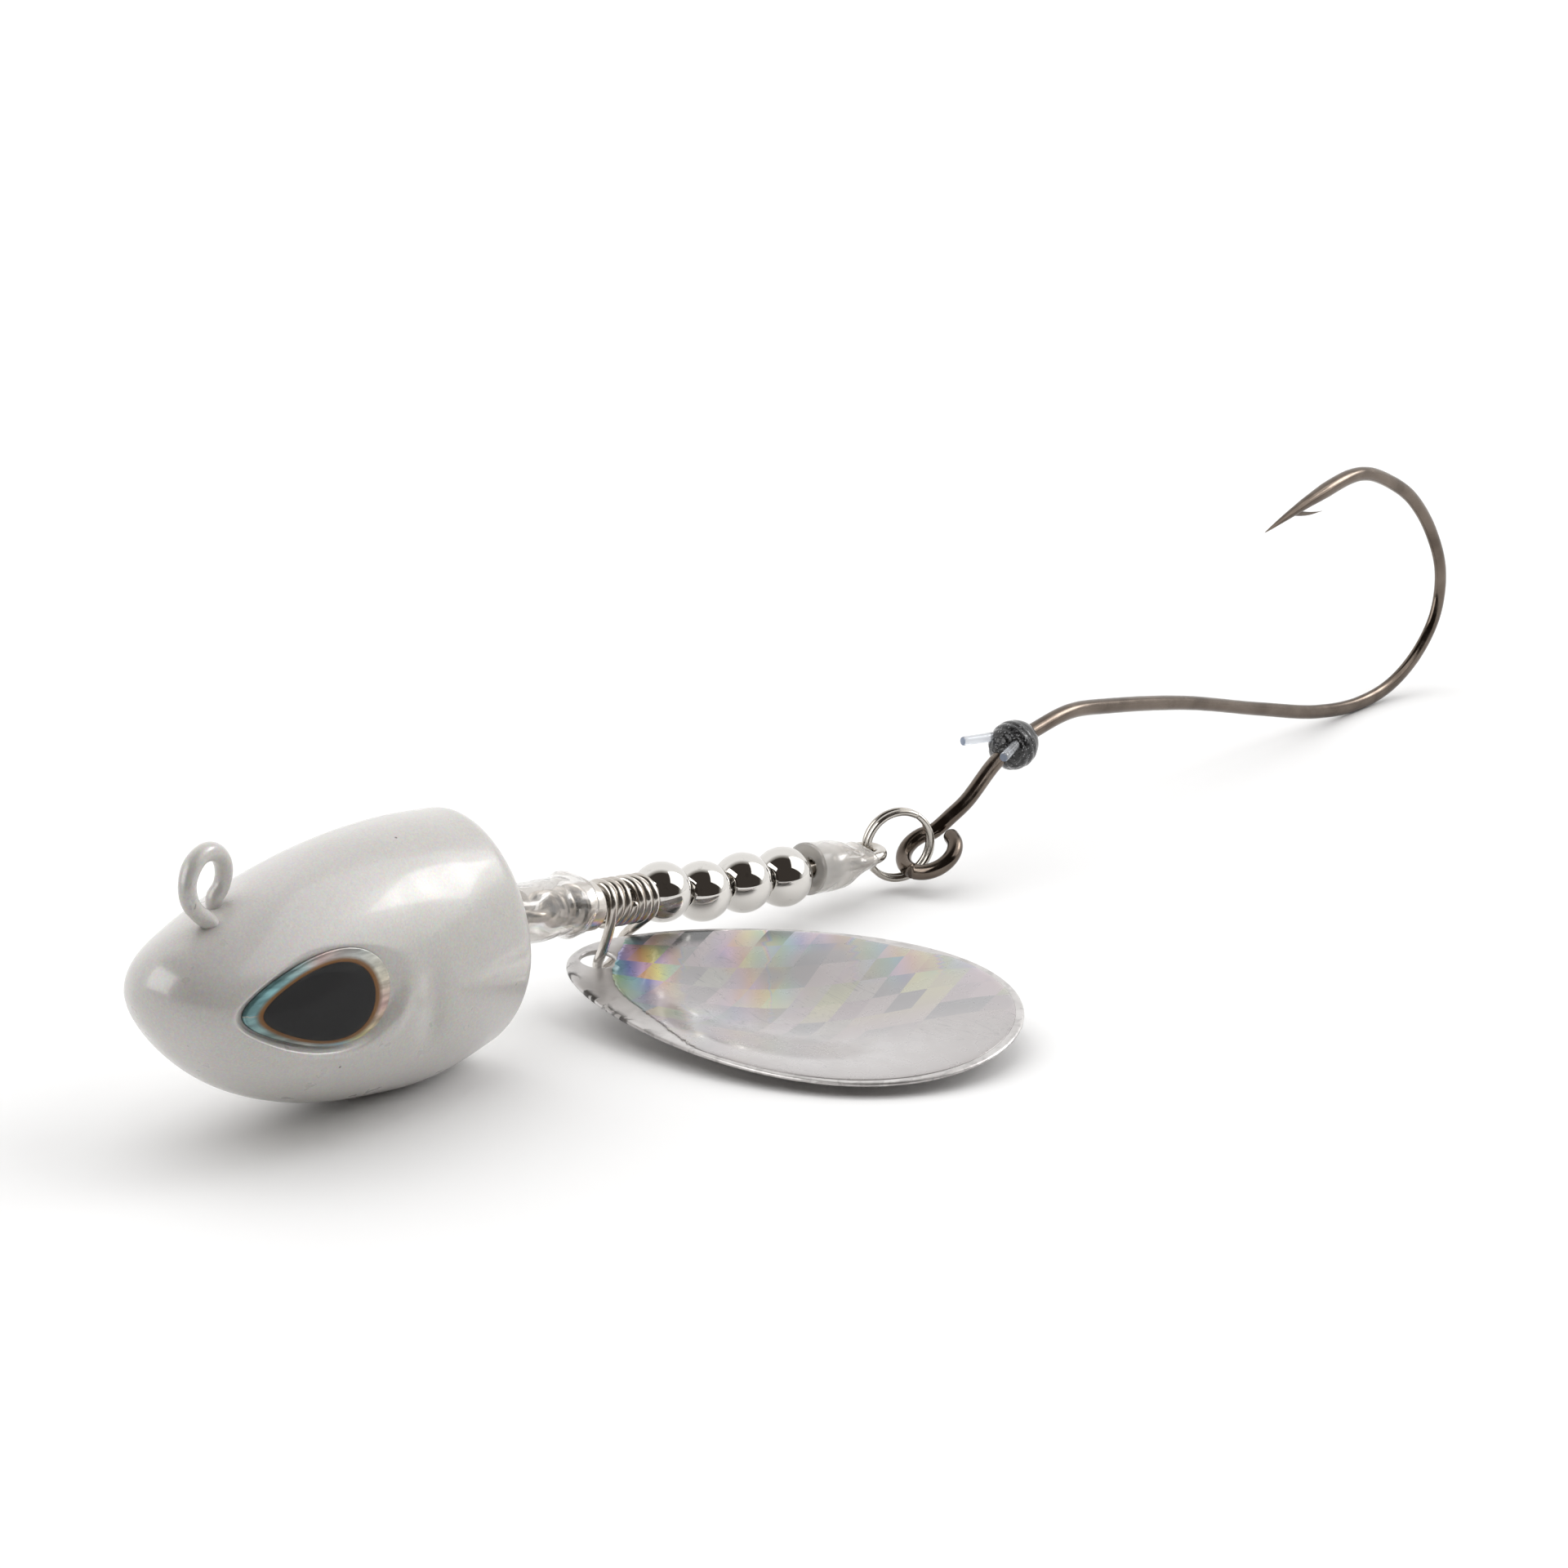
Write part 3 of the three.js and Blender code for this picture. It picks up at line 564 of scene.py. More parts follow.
# ---- head ----
HEAD_LENGTH = 28.2
HEAD_REAR = 6.0
HEAD_HALF_WIDTH = 7.1
NOSE_HEIGHT = 11.2
SECTION_POWER = 1.9
REAR_ROUND = 1.8
BELLY_CUT = 0.15
CREASE_DEPTH, CREASE_ANGLE, CREASE_WIDTH = 0.008, 1.08, 0.15
LID_HEIGHT, CHEEK_DEPTH = 0.16, 0.30
CROWN = [(0, NOSE_HEIGHT), (0.05, 13.4), (0.2, 14.9), (0.4, 16.3), (0.6, 16.85), (0.8, 16.7), (1, 15.9)]
BELLY = [(0, NOSE_HEIGHT), (0.05, 7.9), (0.2, 4.0), (0.4, 1.5), (0.6, 0.35), (0.78, 0), (1, 0.95)]
PLAN = [(0, 0), (0.05, 3.3), (0.2, 5.8), (0.4, 6.75), (0.6, 7.1), (0.8, 7.05), (1, 6.25)]


def outline_reader(line):
    """Reads an outline on a smooth curve over the square root of the fraction."""
    knots = np.array([(math.sqrt(f), v) for f, v in line])
    samples = []
    last = len(knots) - 1
    for t in np.linspace(0, last, 401):
        i = min(int(t), last - 1)
        w = t - i
        p0, p1, p2, p3 = (knots[min(max(k, 0), last)] for k in (i - 1, i, i + 1, i + 2))
        v0, v1 = (p2 - p0) / 2, (p3 - p1) / 2
        cubic = 2 * p1 - 2 * p2 + v0 + v1
        square = -3 * p1 + 3 * p2 - 2 * v0 - v1
        samples.append(cubic * w ** 3 + square * w ** 2 + v0 * w + p1)
    samples = np.array(samples)
    return lambda fraction: np.interp(np.sqrt(np.clip(fraction, 0, 1)), samples[:, 0], samples[:, 1])


crown_at, belly_at, half_width_at = (outline_reader(line) for line in (CROWN, BELLY, PLAN))


def crease_fade(fraction):
    """How strong the creases are along the head."""
    return float(smoothstep(fraction, 0.22, 0.36) * (1 - smoothstep(fraction, 0.6, 0.85)))


def head_surface(scale, angle, fraction):
    """Points of the head's section at a fraction of its length, with the two creases beside the crown."""
    top, bottom = crown_at(fraction), belly_at(fraction) - BELLY_CUT
    middle = bottom + 0.46 * (top - bottom)
    power = 2 / SECTION_POWER
    cosine = np.sign(np.cos(angle)) * np.abs(np.cos(angle)) ** power
    sine = np.sign(np.sin(angle)) * np.abs(np.sin(angle)) ** power
    reach = np.where(np.sin(angle) > 0, top - middle, middle - bottom)
    right = bell(angle, CREASE_ANGLE, CREASE_WIDTH)
    left = bell(angle, np.pi - CREASE_ANGLE, CREASE_WIDTH)
    scale = scale * (1 - CREASE_DEPTH * (right + left) * crease_fade(fraction))
    x = np.full_like(cosine, HEAD_REAR - HEAD_LENGTH * (1 - fraction))
    return np.stack([x, scale * half_width_at(fraction) * cosine, middle + scale * reach * sine], -1)


EYE_CENTRE = np.array([-13.2, 5.35, 9.7])
EYE_YAW, EYE_PITCH, EYE_ROLL = 11.0, 5.0, 2.0
EYE_LENGTH, EYE_HEIGHT = 10.9, 6.4
EYE_POINTS = 120


def eye_axes(side):
    yaw, pitch, roll = (math.radians(a) for a in (EYE_YAW, EYE_PITCH, EYE_ROLL))
    outward = unit(np.array([-math.sin(yaw), side * math.cos(yaw), math.sin(pitch)]))
    along = np.array([math.cos(yaw), side * math.sin(yaw), -math.sin(roll)])
    along = unit(along - outward * np.dot(outward, along))
    up = np.cross(outward, along)
    return along, up, outward, EYE_CENTRE * [1, side, 1]


def eye_outline(length, height, count=EYE_POINTS):
    """The eye's outline: round behind, drawn out to a point in front."""
    angle = np.arange(count) * 2 * np.pi / count
    pinch = 0.72 - 0.28 * np.cos(angle)
    return np.stack([-0.5 * length * np.cos(angle), 0.5 * height * np.sin(angle) * pinch * 1.22], 1)


def eye_share(along, up, length=EYE_LENGTH, height=EYE_HEIGHT):
    """How far out a point is, as a share of the way to the outline."""
    outline = eye_outline(length, height, 720)
    bearing = np.arctan2(outline[:, 1], outline[:, 0])
    order = np.argsort(bearing)
    reach = np.interp(
        np.arctan2(up, along), bearing[order], np.hypot(outline[:, 0], outline[:, 1])[order], period=2 * np.pi
    )
    return np.hypot(along, up) / reach


def head_shell():
    """The cast head with its eye sockets pressed in and their soft lids raised."""
    around = 300
    angles = np.arange(around) * 2 * np.pi / around
    stations = np.linspace(0.04, math.sqrt(1 - REAR_ROUND / HEAD_LENGTH), 190) ** 2
    rings = [head_surface(1.0, angles, f) for f in stations]
    for turn in np.radians(np.linspace(8, 90, 12)):
        inset = (REAR_ROUND / HEAD_HALF_WIDTH) * (1 - math.cos(turn))
        rings.append(head_surface(1 - inset, angles, 1 - REAR_ROUND / HEAD_LENGTH * (1 - math.sin(turn))))
    for share in (0.6, 0.35, 0.12):
        rings.append(head_surface(share, angles, 1.0))
    points = np.array(rings)
    for side in (-1, 1):
        along, up, outward, centre = eye_axes(side)
        offset = points - centre
        a, b, c = (offset @ axis for axis in (along, up, outward))
        near = np.where(c > -3, 1.0, 0.0)
        share = eye_share(a, b)
        lid = LID_HEIGHT * bell(share, 1.26, 0.08) * smoothstep(-b, 0.8, 2.2) * smoothstep(a, -5.5, -2.5)
        cheek = -CHEEK_DEPTH * bell(a, 8.9, 1.0) * smoothstep(-b, -1.5, 1.5) * smoothstep(b, -5.5, -3.0)
        c_new = c + (lid + cheek) * near
        slope = 0.13 + 0.25 * smoothstep(a, -2.0, 4.5) * smoothstep(b, -2.6, 0.5)
        open_part = smoothstep(share, 1.02, 1.02 + slope)
        floor_level = np.minimum(c_new, -0.02)
        c_new = np.where(near > 0, floor_level + (c_new - floor_level) * open_part, c)
        points = points + (c_new - c)[..., None] * outward
    points[..., 2] = np.maximum(points[..., 2], 0.0)
    shell = ring_mesh("head_shell", points, PEARL)
    finish_piece(shell, "head", ["head_casting"])


head_shell()


def iris(side, name):
    along, up, outward, centre = eye_axes(side)
    outline = eye_outline(EYE_LENGTH - 0.1, EYE_HEIGHT - 0.1)
    shares = np.linspace(0, 1, 41)[1:]
    flat = np.array([outline * s for s in shares])
    rise = 0.18 * (1 - shares[:, None] ** 2)
    top = flat[..., :1] * along + flat[..., 1:] * up + (0.2 + rise[..., None]) * outward + centre
    bottom = outline[:, :1] * along + outline[:, 1:] * up + 0.03 * outward + centre
    rings = np.concatenate([top, bottom[None]])
    piece = ring_mesh(f"iris_{name}", rings, IRIS)
    offset = vertices_of(piece) - centre
    a, b = offset @ along, offset @ up
    attribute(piece, "pupil", 0.5 * eye_share(a - 0.05, b + 0.16, EYE_LENGTH * 0.75, EYE_HEIGHT * 0.78))
    attribute(piece, "turn", (np.arctan2(b, a) / (2 * np.pi) + 0.5) % 1.0)
    finish_piece(piece, "head", [f"eye_foil_{name}"])


def eye_dome(side, name):
    along, up, outward, centre = eye_axes(side)
    outline = eye_outline(EYE_LENGTH - 0.02, EYE_HEIGHT - 0.02)
    rings = [outline[:, :1] * along + outline[:, 1:] * up + 0.02 * outward + centre]
    for share in np.concatenate([np.linspace(1, 0.9, 8), np.linspace(0.87, 0.03, 30)]):
        rise = 0.42 + 0.95 * (1 - share ** 2.4) - 0.3 * share ** 14
        rings.append(outline[:, :1] * share * along + outline[:, 1:] * share * up + rise * outward + centre)
    piece = ring_mesh(f"eye_dome_{name}", np.array(rings), RESIN)
    finish_piece(piece, "head", [f"eye_dome_{name}"])


for eye_side, eye_name in ((-1, "left"), (1, "right")):
    iris(eye_side, eye_name)
    eye_dome(eye_side, eye_name)

# ---- head wire ----
HEAD_WIRE_RADIUS = 0.48
TIE_CENTRE = np.array([-16.95, 0, 17.0])
TIE_RADIUS = 1.93
TIE_SPLAY = 0.55
LINK = np.array([10.7, 0, 7.6])
LINK_EYE_RADIUS = 1.2
LINK_EYE_OVERLAP = 0.49
X, Y, Z = np.eye(3)


def arc(centre, radius, start, end, count, across, up):
    angles = np.radians(np.linspace(start, end, count))
    return np.array(centre) + radius * (np.outer(np.cos(angles), across) + np.outer(np.sin(angles), up))


def line_tie():
    loop = arc(TIE_CENTRE, TIE_RADIUS, -48, 228, 13, X, Z)
    loop[:, 1] = TIE_SPLAY * np.linspace(1, -1, len(loop))
    points = [(-15.35, TIE_SPLAY, 13.2), (-15.55, TIE_SPLAY, 14.6), *loop,
              (-17.2, -TIE_SPLAY, 14.6), (-16.2, -TIE_SPLAY, 12.6)]
    path = smooth_path(points, 0.12)

    def paint(part, length):
        thick = 1.13 + 0.12 * float(bell(part, 0.5, 0.16)) + 0.02 * math.sin(length * 3.1)
        return thick, thick

    piece = swept("line_tie", path, HEAD_WIRE_RADIUS, PEARL_CHIPPED, 28, shape=paint)
    points = vertices_of(piece)
    inner_left = bell(points[:, 0], -18.4, 0.5) * bell(points[:, 2], 16.6, 0.9)
    base = bell(points[:, 2], 15.0, 0.5) * 0.8
    attribute(piece, "chip", np.clip(inner_left * 1.6 + base, 0, 1))
    finish_piece(piece, "head", ["head_wire"])


def head_rear_eye():
    centre = LINK - X * (LINK_EYE_RADIUS - LINK_EYE_OVERLAP)
    points = [(3, 0, 8.15), (5, 0, 8.15), (7.2, 0, 8.05), *arc(centre, LINK_EYE_RADIUS, 218, 500, 12, X, Z)]
    piece = swept("head_rear_eye", smooth_path(points, 0.15), HEAD_WIRE_RADIUS * 0.98, NICKEL, 20)
    finish_piece(piece, "head")


line_tie()
head_rear_eye()

# ---- shaft ----
SHAFT_TILT = math.radians(9.1)
SHAFT_RADIUS = 0.4
WRAP_RADIUS = 0.87
REAR_LOOP_CENTRE = 33.4
REAR_LOOP_RADIUS = 1.1
REAR_LOOP_PITCH = math.radians(10)
REAR_LOOP_BEND = 31.0


def on_shaft(points):
    """Local shaft points, whose X axis is its centreline, in the frame of the whole lure."""
    p = np.asarray(points, float)
    x = LINK[0] + math.cos(SHAFT_TILT) * p[..., 0] + math.sin(SHAFT_TILT) * p[..., 2]
    z = LINK[2] - math.sin(SHAFT_TILT) * p[..., 0] + math.cos(SHAFT_TILT) * p[..., 2]
    return np.stack([x, p[..., 1], z], -1)


def raised(points):
    """Lifts what is behind the rear wraps onto the line of the pitched rear loop."""
    p = np.array(points, float)
    p[..., 2] += np.maximum(p[..., 0] - REAR_LOOP_BEND, 0) * math.tan(REAR_LOOP_PITCH)
    return p


def wraps(start, end, from_angle, turns):
    count = round(abs(turns) * 10) + 1
    angle = np.radians(from_angle + 360 * turns * np.linspace(0, 1, count))
    x = np.linspace(start, end, count)
    return np.stack([x, WRAP_RADIUS * np.cos(angle), WRAP_RADIUS * np.sin(angle)], 1)


def shaft_wire():
    front_eye = (LINK_EYE_RADIUS - LINK_EYE_OVERLAP, 0, 0)
    rear_eye = (REAR_LOOP_CENTRE, 0, 0)
    points = [
        *wraps(4.35, 2.8, 0, -1.75), (2.3, 0.75, 0.55), *arc(front_eye, LINK_EYE_RADIUS, 40, 318, 11, X, Y),
        (2.35, -0.3, 0), (3.1, 0, 0), (10, 0, 0), (20, 0, 0), (29.9, 0, 0), (30.8, -0.25, 0),
        (32.0, -0.95, 0),
        *arc(rear_eye, REAR_LOOP_RADIUS, -90, 90, 9, X, Y), (32.2, 1.1, 0), (31.3, 0.95, 0),
        *wraps(30.5, 28.5, 0, 2.25),
    ]
    path = on_shaft(raised(smooth_path(points, 0.14)))
    piece = swept("shaft_wire_smooth", path, SHAFT_RADIUS, NICKEL, 20)
    finish_piece(piece, "shaft", ["shaft_wire"])


shaft_wire()


def tube_skin(name, outline, wall, material, radius_at, steps=90, around=96, lip=((), ())):
    """A thin tube whose outer radius comes from an outline of [x, radius] and a rule of x and angle.
    Its lip is two lists of [x, radius], outside and inside, that curl in at its front end."""
    xs = np.linspace(outline[0][0], outline[-1][0], steps)
    base = np.interp(xs, *np.array(outline).T)
    kernel = np.ones(7) / 7
    base = np.convolve(np.pad(base, 3, mode="edge"), kernel, "valid")
    angles = np.arange(around) * 2 * np.pi / around
    rings = []
    stations = list(zip(xs, base))
    for inner, row in ((0.0, stations), (wall, stations[::-1])):
        for x, radius in row:
            wide, tall = radius_at(x, angles)
            y = (radius * wide - inner) * np.cos(angles)
            z = (radius * tall - inner) * np.sin(angles)
            rings.append(np.stack([np.full(around, x), y, z], 1))
    outside, inside = (
        [np.stack([np.full(around, x), r * np.cos(angles), r * np.sin(angles)], 1) for x, r in side]
        for side in lip
    )
    return ring_mesh(name, on_shaft(raised(np.array(outside + rings + inside))), material, closed=True)


def front_tube():
    outline = [
        (-4.1, 2.3), (-3.2, 2.08), (-1.5, 2.02), (1.4, 2.0),
        (2.8, 1.88), (3.8, 2.02), (4.5, 2.2), (5.2, 2.05),
    ]

    def wrinkled(x, angles):
        fold = 0.045 * np.sin(3 * angles + 1.1 * x) + 0.012 * np.sin(7 * angles - 1.6 * x + 1)
        gather = 0.02 * np.sin(4.2 * x + 2 * np.sin(2 * angles)) * smoothstep(x, 2.2, 4.0)
        return 0.97 + fold + gather, 0.97 + fold + gather

    piece = tube_skin("front_tube_clear", outline, 0.2, FRONT_CLEAR, wrinkled, 110)
    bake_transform(piece)
    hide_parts("front_tube")


def rear_tube():
    outline = [(27.75, 1.75), (28.6, 1.72), (30.4, 1.62), (31.4, 1.6), (32.4, 1.74), (32.8, 1.74)]

    def flattened(x, angles):
        squeeze = smoothstep(x, 30.6, 32.2)
        fold = 0.03 * np.sin(4 * angles + 2 * x) * smoothstep(x, 28.5, 29.5)
        return 0.98 + 0.02 * squeeze + fold, 0.98 - 0.5 * squeeze + fold

    lip = (
        [(27.98, 0.62), (27.82, 0.85), (27.75, 1.1), (27.71, 1.35), (27.71, 1.58)],
        [(27.86, 1.5), (27.86, 1.3), (27.90, 1.1), (27.97, 0.88), (28.09, 0.66)],
    )
    piece = tube_skin("rear_tube_clear", outline, 0.18, REAR_CLEAR, flattened, lip=lip)
    along = vertices_of(piece)[:, 0] - LINK[0]
    attribute(piece, "cloud", 1 - smoothstep(along, 29.0, 30.5))
    finish_piece(piece, "shaft", ["rear_tube"])


front_tube()
rear_tube()

SLEEVE_START, SLEEVE_LENGTH, SLEEVE_RADIUS, SLEEVE_BORE, SLEEVE_DROOP = 4.95, 1.7, 1.6, 1.6, 0.2


def sleeve():
    start, end, edge = SLEEVE_START, SLEEVE_START + SLEEVE_LENGTH, 0.16
    rounding = [(math.sin(a) * edge, (1 - math.cos(a)) * edge) for a in np.radians(np.linspace(0, 90, 6))]
    bore = SLEEVE_BORE / 2
    profile = [(bore, start)]
    profile += [(SLEEVE_RADIUS - edge + s, start + c) for s, c in rounding]
    profile += [(SLEEVE_RADIUS - edge + s, end - c) for s, c in rounding[::-1]]
    profile += [(bore, end)]
    piece = turned("sleeve_smooth", profile, NICKEL, lambda p: on_shaft(p - np.array([0, 0, SLEEVE_DROOP])))
    finish_piece(piece, "sleeve", ["sleeve"])


sleeve()

# ---- clevis ----
COIL_START, COIL_END, COIL_PITCH = 7.45, 11.6, 0.69
COIL_RADIUS, COIL_DROOP, CLEVIS_RADIUS = 1.27, 0.2, 0.29
CLEVIS_STOUT = 1.12


def coil_turns(x, from_angle, pitch, turns):
    done = np.linspace(0, turns, round(turns * 24) + 1)
    angle = np.radians(from_angle - 360 * done)
    height = COIL_RADIUS * np.sin(angle) - COIL_DROOP
    return np.stack([x + pitch * done, COIL_RADIUS * np.cos(angle), height], 1)


def clevis():
    bail = [
        (7.5, -1.22, -1.1), (7.6, -1.0, -2.0), (7.68, -0.6, -3.2), (7.72, -0.3, -4.05), (8.0, -0.25, -4.5),
        (9.0, 0.1, -4.5), (10.2, 0.6, -4.3), (11.1, 1.1, -3.95), (11.55, 1.25, -3.4), (11.6, 0.9, -2.75),
        (11.6, 0.0, -1.9),
    ]
    front_coil = coil_turns(COIL_START, 180, COIL_PITCH, 3)[::-1]
    points = [*front_coil, *bail, *coil_turns(COIL_END, 225, -COIL_PITCH, 2.6)]
    path = on_shaft(smooth_path(points, 0.09))
    piece = swept("clevis_smooth", path, CLEVIS_RADIUS * CLEVIS_STOUT, NICKEL, 18)
    finish_piece(piece, "clevis", ["clevis"])


clevis()

# ---- beads ----
BEAD_RADIUS, BEAD_BORE, BEAD_PITCH, FIRST_BEAD = 1.95, 1.7, 3.95, 13.56
BEAD_DROOP = [0.05, 0.41, 0.26, 0.28]


def bead(number, droop):
    end = math.asin(BEAD_BORE / 2 / BEAD_RADIUS)
    angles = np.linspace(end, np.pi - end, 48)
    profile = [(BEAD_RADIUS * math.sin(a), -BEAD_RADIUS * math.cos(a)) for a in angles]
    centre = np.array([FIRST_BEAD + (number - 1) * BEAD_PITCH, 0, -droop])
    piece = turned(f"bead_{number}_mirror", profile, CHROME, lambda p: on_shaft(p + centre), 96)
    finish_piece(piece, f"bead_{number}", [f"bead_{number}"])


for number, droop in enumerate(BEAD_DROOP, 1):
    bead(number, droop)

# ---- blade ----
BLADE_HOLE = np.array([17.7, -0.3, 2.77])
BLADE_YAW, BLADE_PITCH, BLADE_ROLL = (math.radians(a) for a in (-74, 2.2, 6.4))
BLADE_LENGTH, BLADE_HALF_WIDTH, BLADE_SKEW, BLADE_MIDDLE = 30.2, 9.55, 0.263, 13.3
BLADE_CUP, BLADE_RIM_POWER, BLADE_THICKNESS, BLADE_HOLE_RADIUS = 1.9, 2.2, 0.3, 1.15
TAPE_THICKNESS, TAPE_GAP, TAPE_MARGIN = 0.13, -0.06, 0.965
TAPE_EDGE = [(-1, 9), (0.5, 2.9), (1.5, -0.9), (2.2, -2.1), (3.5, -3.5), (6.7, -5.7), (10.3, -8.3), (16, -11)]
blade_along = np.array([
    math.cos(BLADE_YAW) * math.cos(BLADE_PITCH),
    math.sin(BLADE_YAW) * math.cos(BLADE_PITCH),
    -math.sin(BLADE_PITCH),
])
blade_level = np.array([-math.sin(BLADE_YAW), math.cos(BLADE_YAW), 0])
blade_across = blade_level * math.cos(BLADE_ROLL) + np.cross(blade_along, blade_level) * math.sin(BLADE_ROLL)
blade_normal = np.cross(blade_along, blade_across)


def on_blade(points):
    p = np.asarray(points, float)
    return BLADE_HOLE + p[..., :1] * blade_along + p[..., 1:2] * blade_across + p[..., 2:3] * blade_normal


def blade_sheet(name, outer, low, high, material, rounding):
    """A cupped plate between two heights, with a rounded rim, in the blade's own frame."""
    angles = np.arange(160) * 2 * np.pi / 160
    shares = np.concatenate([np.linspace(0.03, 0.8, 22), np.linspace(0.82, outer, 14)])
    middle, half = (low + high) / 2, (high - low) / 2
    edge = [(outer - rounding * (1 - math.cos(a)) / BLADE_HALF_WIDTH, middle - half * math.sin(a))
            for a in np.radians(np.linspace(-75, 75, 7))]
    inner = shares[shares < outer - rounding / BLADE_HALF_WIDTH]
    profile = [(s, high) for s in inner] + edge + [(s, low) for s in inner[::-1]]
    rings = []
    for share, height in profile:
        along, across = share * np.cos(angles), share * np.sin(angles)
        rings.append(np.stack([
            BLADE_MIDDLE - BLADE_LENGTH / 2 * along,
            BLADE_HALF_WIDTH * across * (1 - BLADE_SKEW * along),
            height - BLADE_CUP * max(1 - share * share, 0) ** BLADE_RIM_POWER + 0 * along,
        ], 1))
    return ring_mesh(name, np.array(rings), material)


def prism(name, corners, low, high):
    rings = np.array([[(x, y, level) for x, y in corners] for level in (low, high)], float)
    return ring_mesh(name, rings, TAPE)


def hole_cutter():
    angles = np.arange(48) * 2 * np.pi / 48
    circle = np.stack([BLADE_HOLE_RADIUS * np.cos(angles), BLADE_HOLE_RADIUS * np.sin(angles)], 1)
    return prism("hole_cutter", circle, -3, 3)


def place_blade_piece(piece):
    """Moves a piece from the blade's own frame to its place, and returns its own-frame points."""
    local = vertices_of(piece)
    piece.data.vertices.foreach_set("co", (on_blade(local) * MM).ravel())
    piece.data.update()
    for polygon in piece.data.polygons:
        polygon.use_smooth = True
    return local


def rim_share(local):
    along = (BLADE_MIDDLE - local[:, 0]) / (BLADE_LENGTH / 2)
    across = local[:, 1] / (BLADE_HALF_WIDTH * (1 - BLADE_SKEW * np.clip(along, -1, 1)))
    return np.hypot(along, across)


def blade():
    piece = blade_sheet("blade_plate", 1.0, -BLADE_THICKNESS, 0.0, BLADE, 0.14)
    carve(piece, hole_cutter(), "DIFFERENCE")
    local = place_blade_piece(piece)
    near_left = smoothstep(-local[:, 1], 0.5, 3.0) * smoothstep(-local[:, 0], -9.5, -2)
    attribute(piece, "edge", np.clip(smoothstep(rim_share(local), 0.93, 0.99) * (0.25 + near_left), 0, 1))
    finish_piece(piece, "blade", ["blade"])


def blade_tape():
    piece = blade_sheet("tape_film", TAPE_MARGIN, TAPE_GAP, TAPE_GAP + TAPE_THICKNESS, TAPE, 0.3)
    edge = smooth_path([(x, y, 0) for x, y in TAPE_EDGE], 0.16)[:, :2]
    ragged = edge + rng.normal(0, 0.045, edge.shape)
    carve(piece, prism("tape_cutter", [*ragged, (32, -11), (32, 9)], -4, 4), "INTERSECT")
    carve(piece, hole_cutter(), "DIFFERENCE")
    local = place_blade_piece(piece)
    right = 0.906 * local[:, 0] + 0.42 * local[:, 1]
    deep = -0.42 * local[:, 0] + 0.906 * local[:, 1]
    layer = piece.data.uv_layers.new(name="facets")
    corner_vertex = np.zeros(len(piece.data.loops), int)
    piece.data.loops.foreach_get("vertex_index", corner_vertex)
    facets = np.stack([(right - 0.55 * deep) / 1.75, deep / 1.9], 1)[corner_vertex]
    layer.data.foreach_set("uv", facets.ravel())
    # where the painted iridescent flashes go: vivid near the hole
    near_hole = np.exp(-np.hypot(local[:, 0] - 2.5, (local[:, 1] - 3.0) * 0.8) / 3.6)
    attribute(piece, "vivid", np.clip(1.5 * near_hole + 0.28 * smoothstep(deep, -6, 0), 0, 1))
    attribute(piece, "hue", (0.30 * local[:, 0] + 0.16 * local[:, 1]) * 0.55 % 1.0)
    # where the painted dark reflections go: by the far rim, towards the hole end
    far_rim = smoothstep(rim_share(local), 0.74, 0.92) * smoothstep(local[:, 1], 1.5, 4.5)
    attribute(piece, "dark", np.clip(1.3 * far_rim * smoothstep(-local[:, 0], -15, -4), 0, 0.85))
    attribute(piece, "plain", 1 - smoothstep(deep, -10.0, -6.0))
    # the lively band holds the painted yellow flashes
    attribute(piece, "lively", bell(deep, -3.6, 2.6) * smoothstep(local[:, 0], 4, 9))
    finish_piece(piece, "blade", ["blade_tape"])


blade()
blade_tape()

# ---- split ring ----
RING_CENTRE = np.array([46.0, -1.0, 3.0])
RING_YAW = math.radians(-26.5)
RING_RADIUS, RING_WIDE, RING_THICK = 2.25, 0.46, 0.45
RING_START, RING_SWEEP = 60, 690
RING_SECTION = (0.98, 0.93)


def turned_about_z(points, yaw, centre):
    c, s = math.cos(yaw), math.sin(yaw)
    p = np.asarray(points, float)
    return np.stack([c * p[..., 0] - s * p[..., 1], s * p[..., 0] + c * p[..., 1], p[..., 2]], -1) + centre


def split_ring():
    part = np.linspace(0, 1, 300)
    angle = np.radians(RING_START + RING_SWEEP * part)
    side = RING_WIDE * (smoothstep(part, 0.4, 0.6) - 0.5)
    path = np.stack([RING_RADIUS * np.cos(angle), side, RING_RADIUS * np.sin(angle)], 1)
    axis = turned_about_z([0, 1, 0], RING_YAW, np.zeros(3))
    path = turned_about_z(path, RING_YAW, RING_CENTRE)
    piece = swept("split_ring_smooth", path, RING_THICK / 2, RING_NICKEL, 24, side=axis,
                  shape=lambda part, length: RING_SECTION)
    finish_piece(piece, "ring", ["split_ring"])


split_ring()

# ---- hook ----
HOOK_EYE = np.array([47.58, -2.3, 2.38])
HOOK_YAW = math.radians(1.4)
HOOK_RADIUS, HOOK_EYE_RADIUS = 0.45, 1.77
HOOK_EYE_TILT = math.radians(32)
HOOK_STOUT, FORGED_NARROW, FORGED_DEEP = 0.14, 0.22, 0.06
BARB_RADIUS = 0.24
HOOK_SPINE = [
    (3.9, 2.5), (6.6, 4.2), (8.74, 5.05), (11.4, 5.55), (14.7, 5.8), (19.1, 5.05), (27.2, 3.15), (35.4, 0.6),
    (42.0, -1.3), (46.6, -1.9), (50.4, -1.45), (53.5, 0.15), (55.4, 2.4), (55.85, 5.3), (54.6, 8.5),
    (52.3, 11.4), (49.7, 13.2), (47.3, 14.3), (45.2, 14.6), (40.9, 14.05),
]
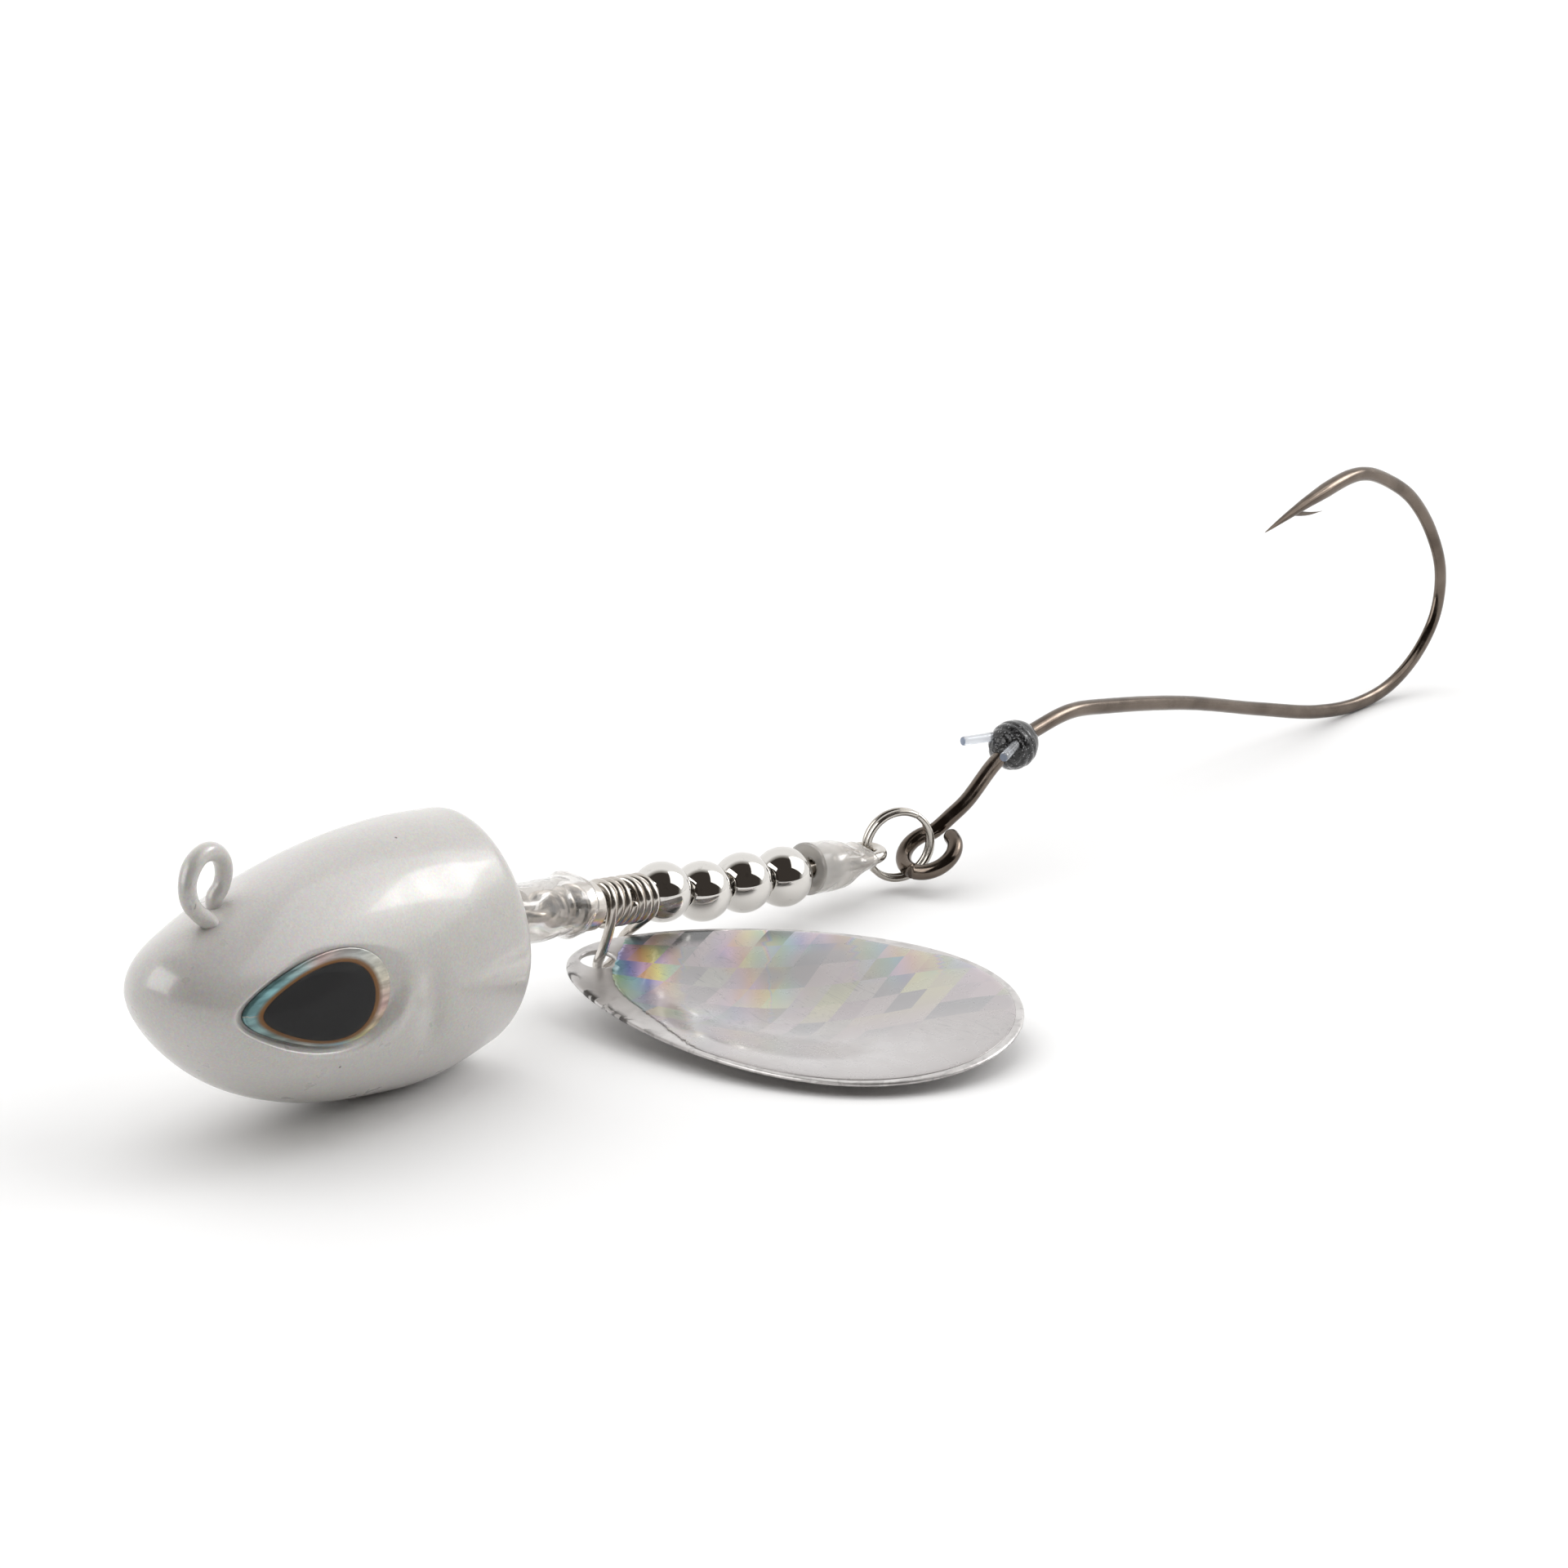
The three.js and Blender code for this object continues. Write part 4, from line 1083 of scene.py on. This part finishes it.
SPEAR_BASE, POINT_TIP, BARB_ROOT, BARB_TIP = (42.3, 14.26), (35.5, 12.95), (38.7, 13.65), (41.9, 12.95)
KEEPER_CENTRE = np.array([8.74, 0, 5.05])
KEEPER_RADIUS = 1.62
KEEPER_STRETCH, WINDING_DEPTH, BUMP_SHARE = 1.08, 0.055, 0.05
KEEPER_PITCH = math.radians(-18)
SPIKE_RADIUS = 0.31


def on_hook(points):
    return turned_about_z(points, HOOK_YAW, HOOK_EYE)


def hook():
    shank_up = np.array([math.cos(HOOK_EYE_TILT), 0, math.sin(HOOK_EYE_TILT)])
    points = [*arc((0, 0, 0), HOOK_EYE_RADIUS, 336, 28, 14, shank_up, Y), (2.6, 0.25, 1.75)]
    points += [(x, 0, z) for x, z in HOOK_SPINE] + [(38.6, 0, 13.6), (POINT_TIP[0] + 0.15, 0, POINT_TIP[1])]
    path = smooth_path(points, 0.2)
    total = np.linalg.norm(np.diff(path, axis=0), axis=1).sum()
    spear = math.dist(SPEAR_BASE, POINT_TIP)

    def section(part, length):
        to_tip = max(total - length, 0.0)
        taper = min(1.0, (to_tip / spear) ** 0.75) if to_tip < spear else 1.0
        forged = float(smoothstep(part, 0.42, 0.52) * (1 - smoothstep(part, 0.80, 0.90)))
        shank = float(1 - smoothstep(part, 0.3, 0.48))
        spear_part = float(smoothstep(part, 0.85, 0.92))
        stout = 1.0 + HOOK_STOUT * shank + HOOK_STOUT * spear_part
        return stout * taper * (1 - FORGED_NARROW * forged), stout * taper * (1 + FORGED_DEEP * forged)

    side = on_hook(Y) - HOOK_EYE
    piece = swept("hook_smooth", on_hook(path), HOOK_RADIUS, BLACK_NICKEL, 24, side=side, shape=section)
    finish_piece(piece, "hook", ["hook"])
    root = np.array([BARB_ROOT[0], 0, BARB_ROOT[1]])
    tip = np.array([BARB_TIP[0], 0, BARB_TIP[1]])
    rise = np.linspace(0, 1, 14)[:, None]
    sliver = root * (1 - rise) + tip * rise + np.array([0, 0, -0.12]) * np.sin(np.pi * rise)

    def thinning(part, length):
        left = max(1 - part, 0.04) ** 0.8
        return left, left

    barb = swept("barb", on_hook(sliver), BARB_RADIUS, BLACK_NICKEL, 14, shape=thinning)
    finish_piece(barb, "hook")


hook()


def keeper():
    """A ball of black thread set in resin: windings on top, bumpy in front, smooth behind."""
    rows, around = 90, 96
    polar = np.linspace(0.06, np.pi - 0.06, rows)
    angles = np.arange(around) * 2 * np.pi / around
    rings = []
    for p in polar:
        x = -math.cos(p)
        winding = WINDING_DEPTH * abs(math.sin(9.5 * p)) * float(smoothstep(-x, -0.65, 0.0))
        bumps = BUMP_SHARE * np.sin(9 * angles + 3 * math.sin(6 * p)) * float(smoothstep(-x, 0.35, 0.8))
        radius = KEEPER_RADIUS * (0.965 + winding / KEEPER_RADIUS + bumps)
        r = np.minimum(radius, KEEPER_RADIUS * 1.01) * math.sin(p)
        along = np.full(around, KEEPER_STRETCH * KEEPER_RADIUS * x)
        rings.append(np.stack([along, r * np.cos(angles), r * np.sin(angles)], 1))
    local = np.array(rings)
    c, s = math.cos(-KEEPER_PITCH), math.sin(-KEEPER_PITCH)
    x, z = c * local[..., 0] - s * local[..., 2], s * local[..., 0] + c * local[..., 2]
    local = np.stack([x, local[..., 1], z], -1)
    piece = ring_mesh("keeper_ball", on_hook(local + KEEPER_CENTRE), THREAD)
    forward = vertices_of(piece) - on_hook(KEEPER_CENTRE)
    attribute(piece, "beady", smoothstep(-forward[:, 0] - 0.5 * forward[:, 1], 0.1, 0.7))
    finish_piece(piece, "hook", ["keeper_wrap"])


def spike(side, name):
    root = KEEPER_CENTRE + np.array([-0.2, 0.72 * side, 0.55])
    tip = KEEPER_CENTRE + np.array([-3.2 - 0.3 * side, 1.45 * side, 0.5 + 0.33 * side])
    path = root + (tip - root) * np.linspace(0, 1, 24)[:, None]

    def blunted(part, length):
        width = 1.0 - 0.12 * (part > 0.97)
        return width, width

    piece = swept(f"spike_{name}", on_hook(path), SPIKE_RADIUS, NYLON, 20, round_ends=False, shape=blunted)
    piece.data.materials.append(NYLON_END)
    for polygon in piece.data.polygons:
        middle = np.array(polygon.center) / MM
        if len(polygon.vertices) > 4 and np.linalg.norm(middle - on_hook(tip)) < SPIKE_RADIUS:
            polygon.material_index = 1
            polygon.use_smooth = False
    finish_piece(piece, "hook", [f"keeper_spike_{name}"])


keeper()
for spike_side, spike_name in ((-1, "left"), (1, "right")):
    spike(spike_side, spike_name)
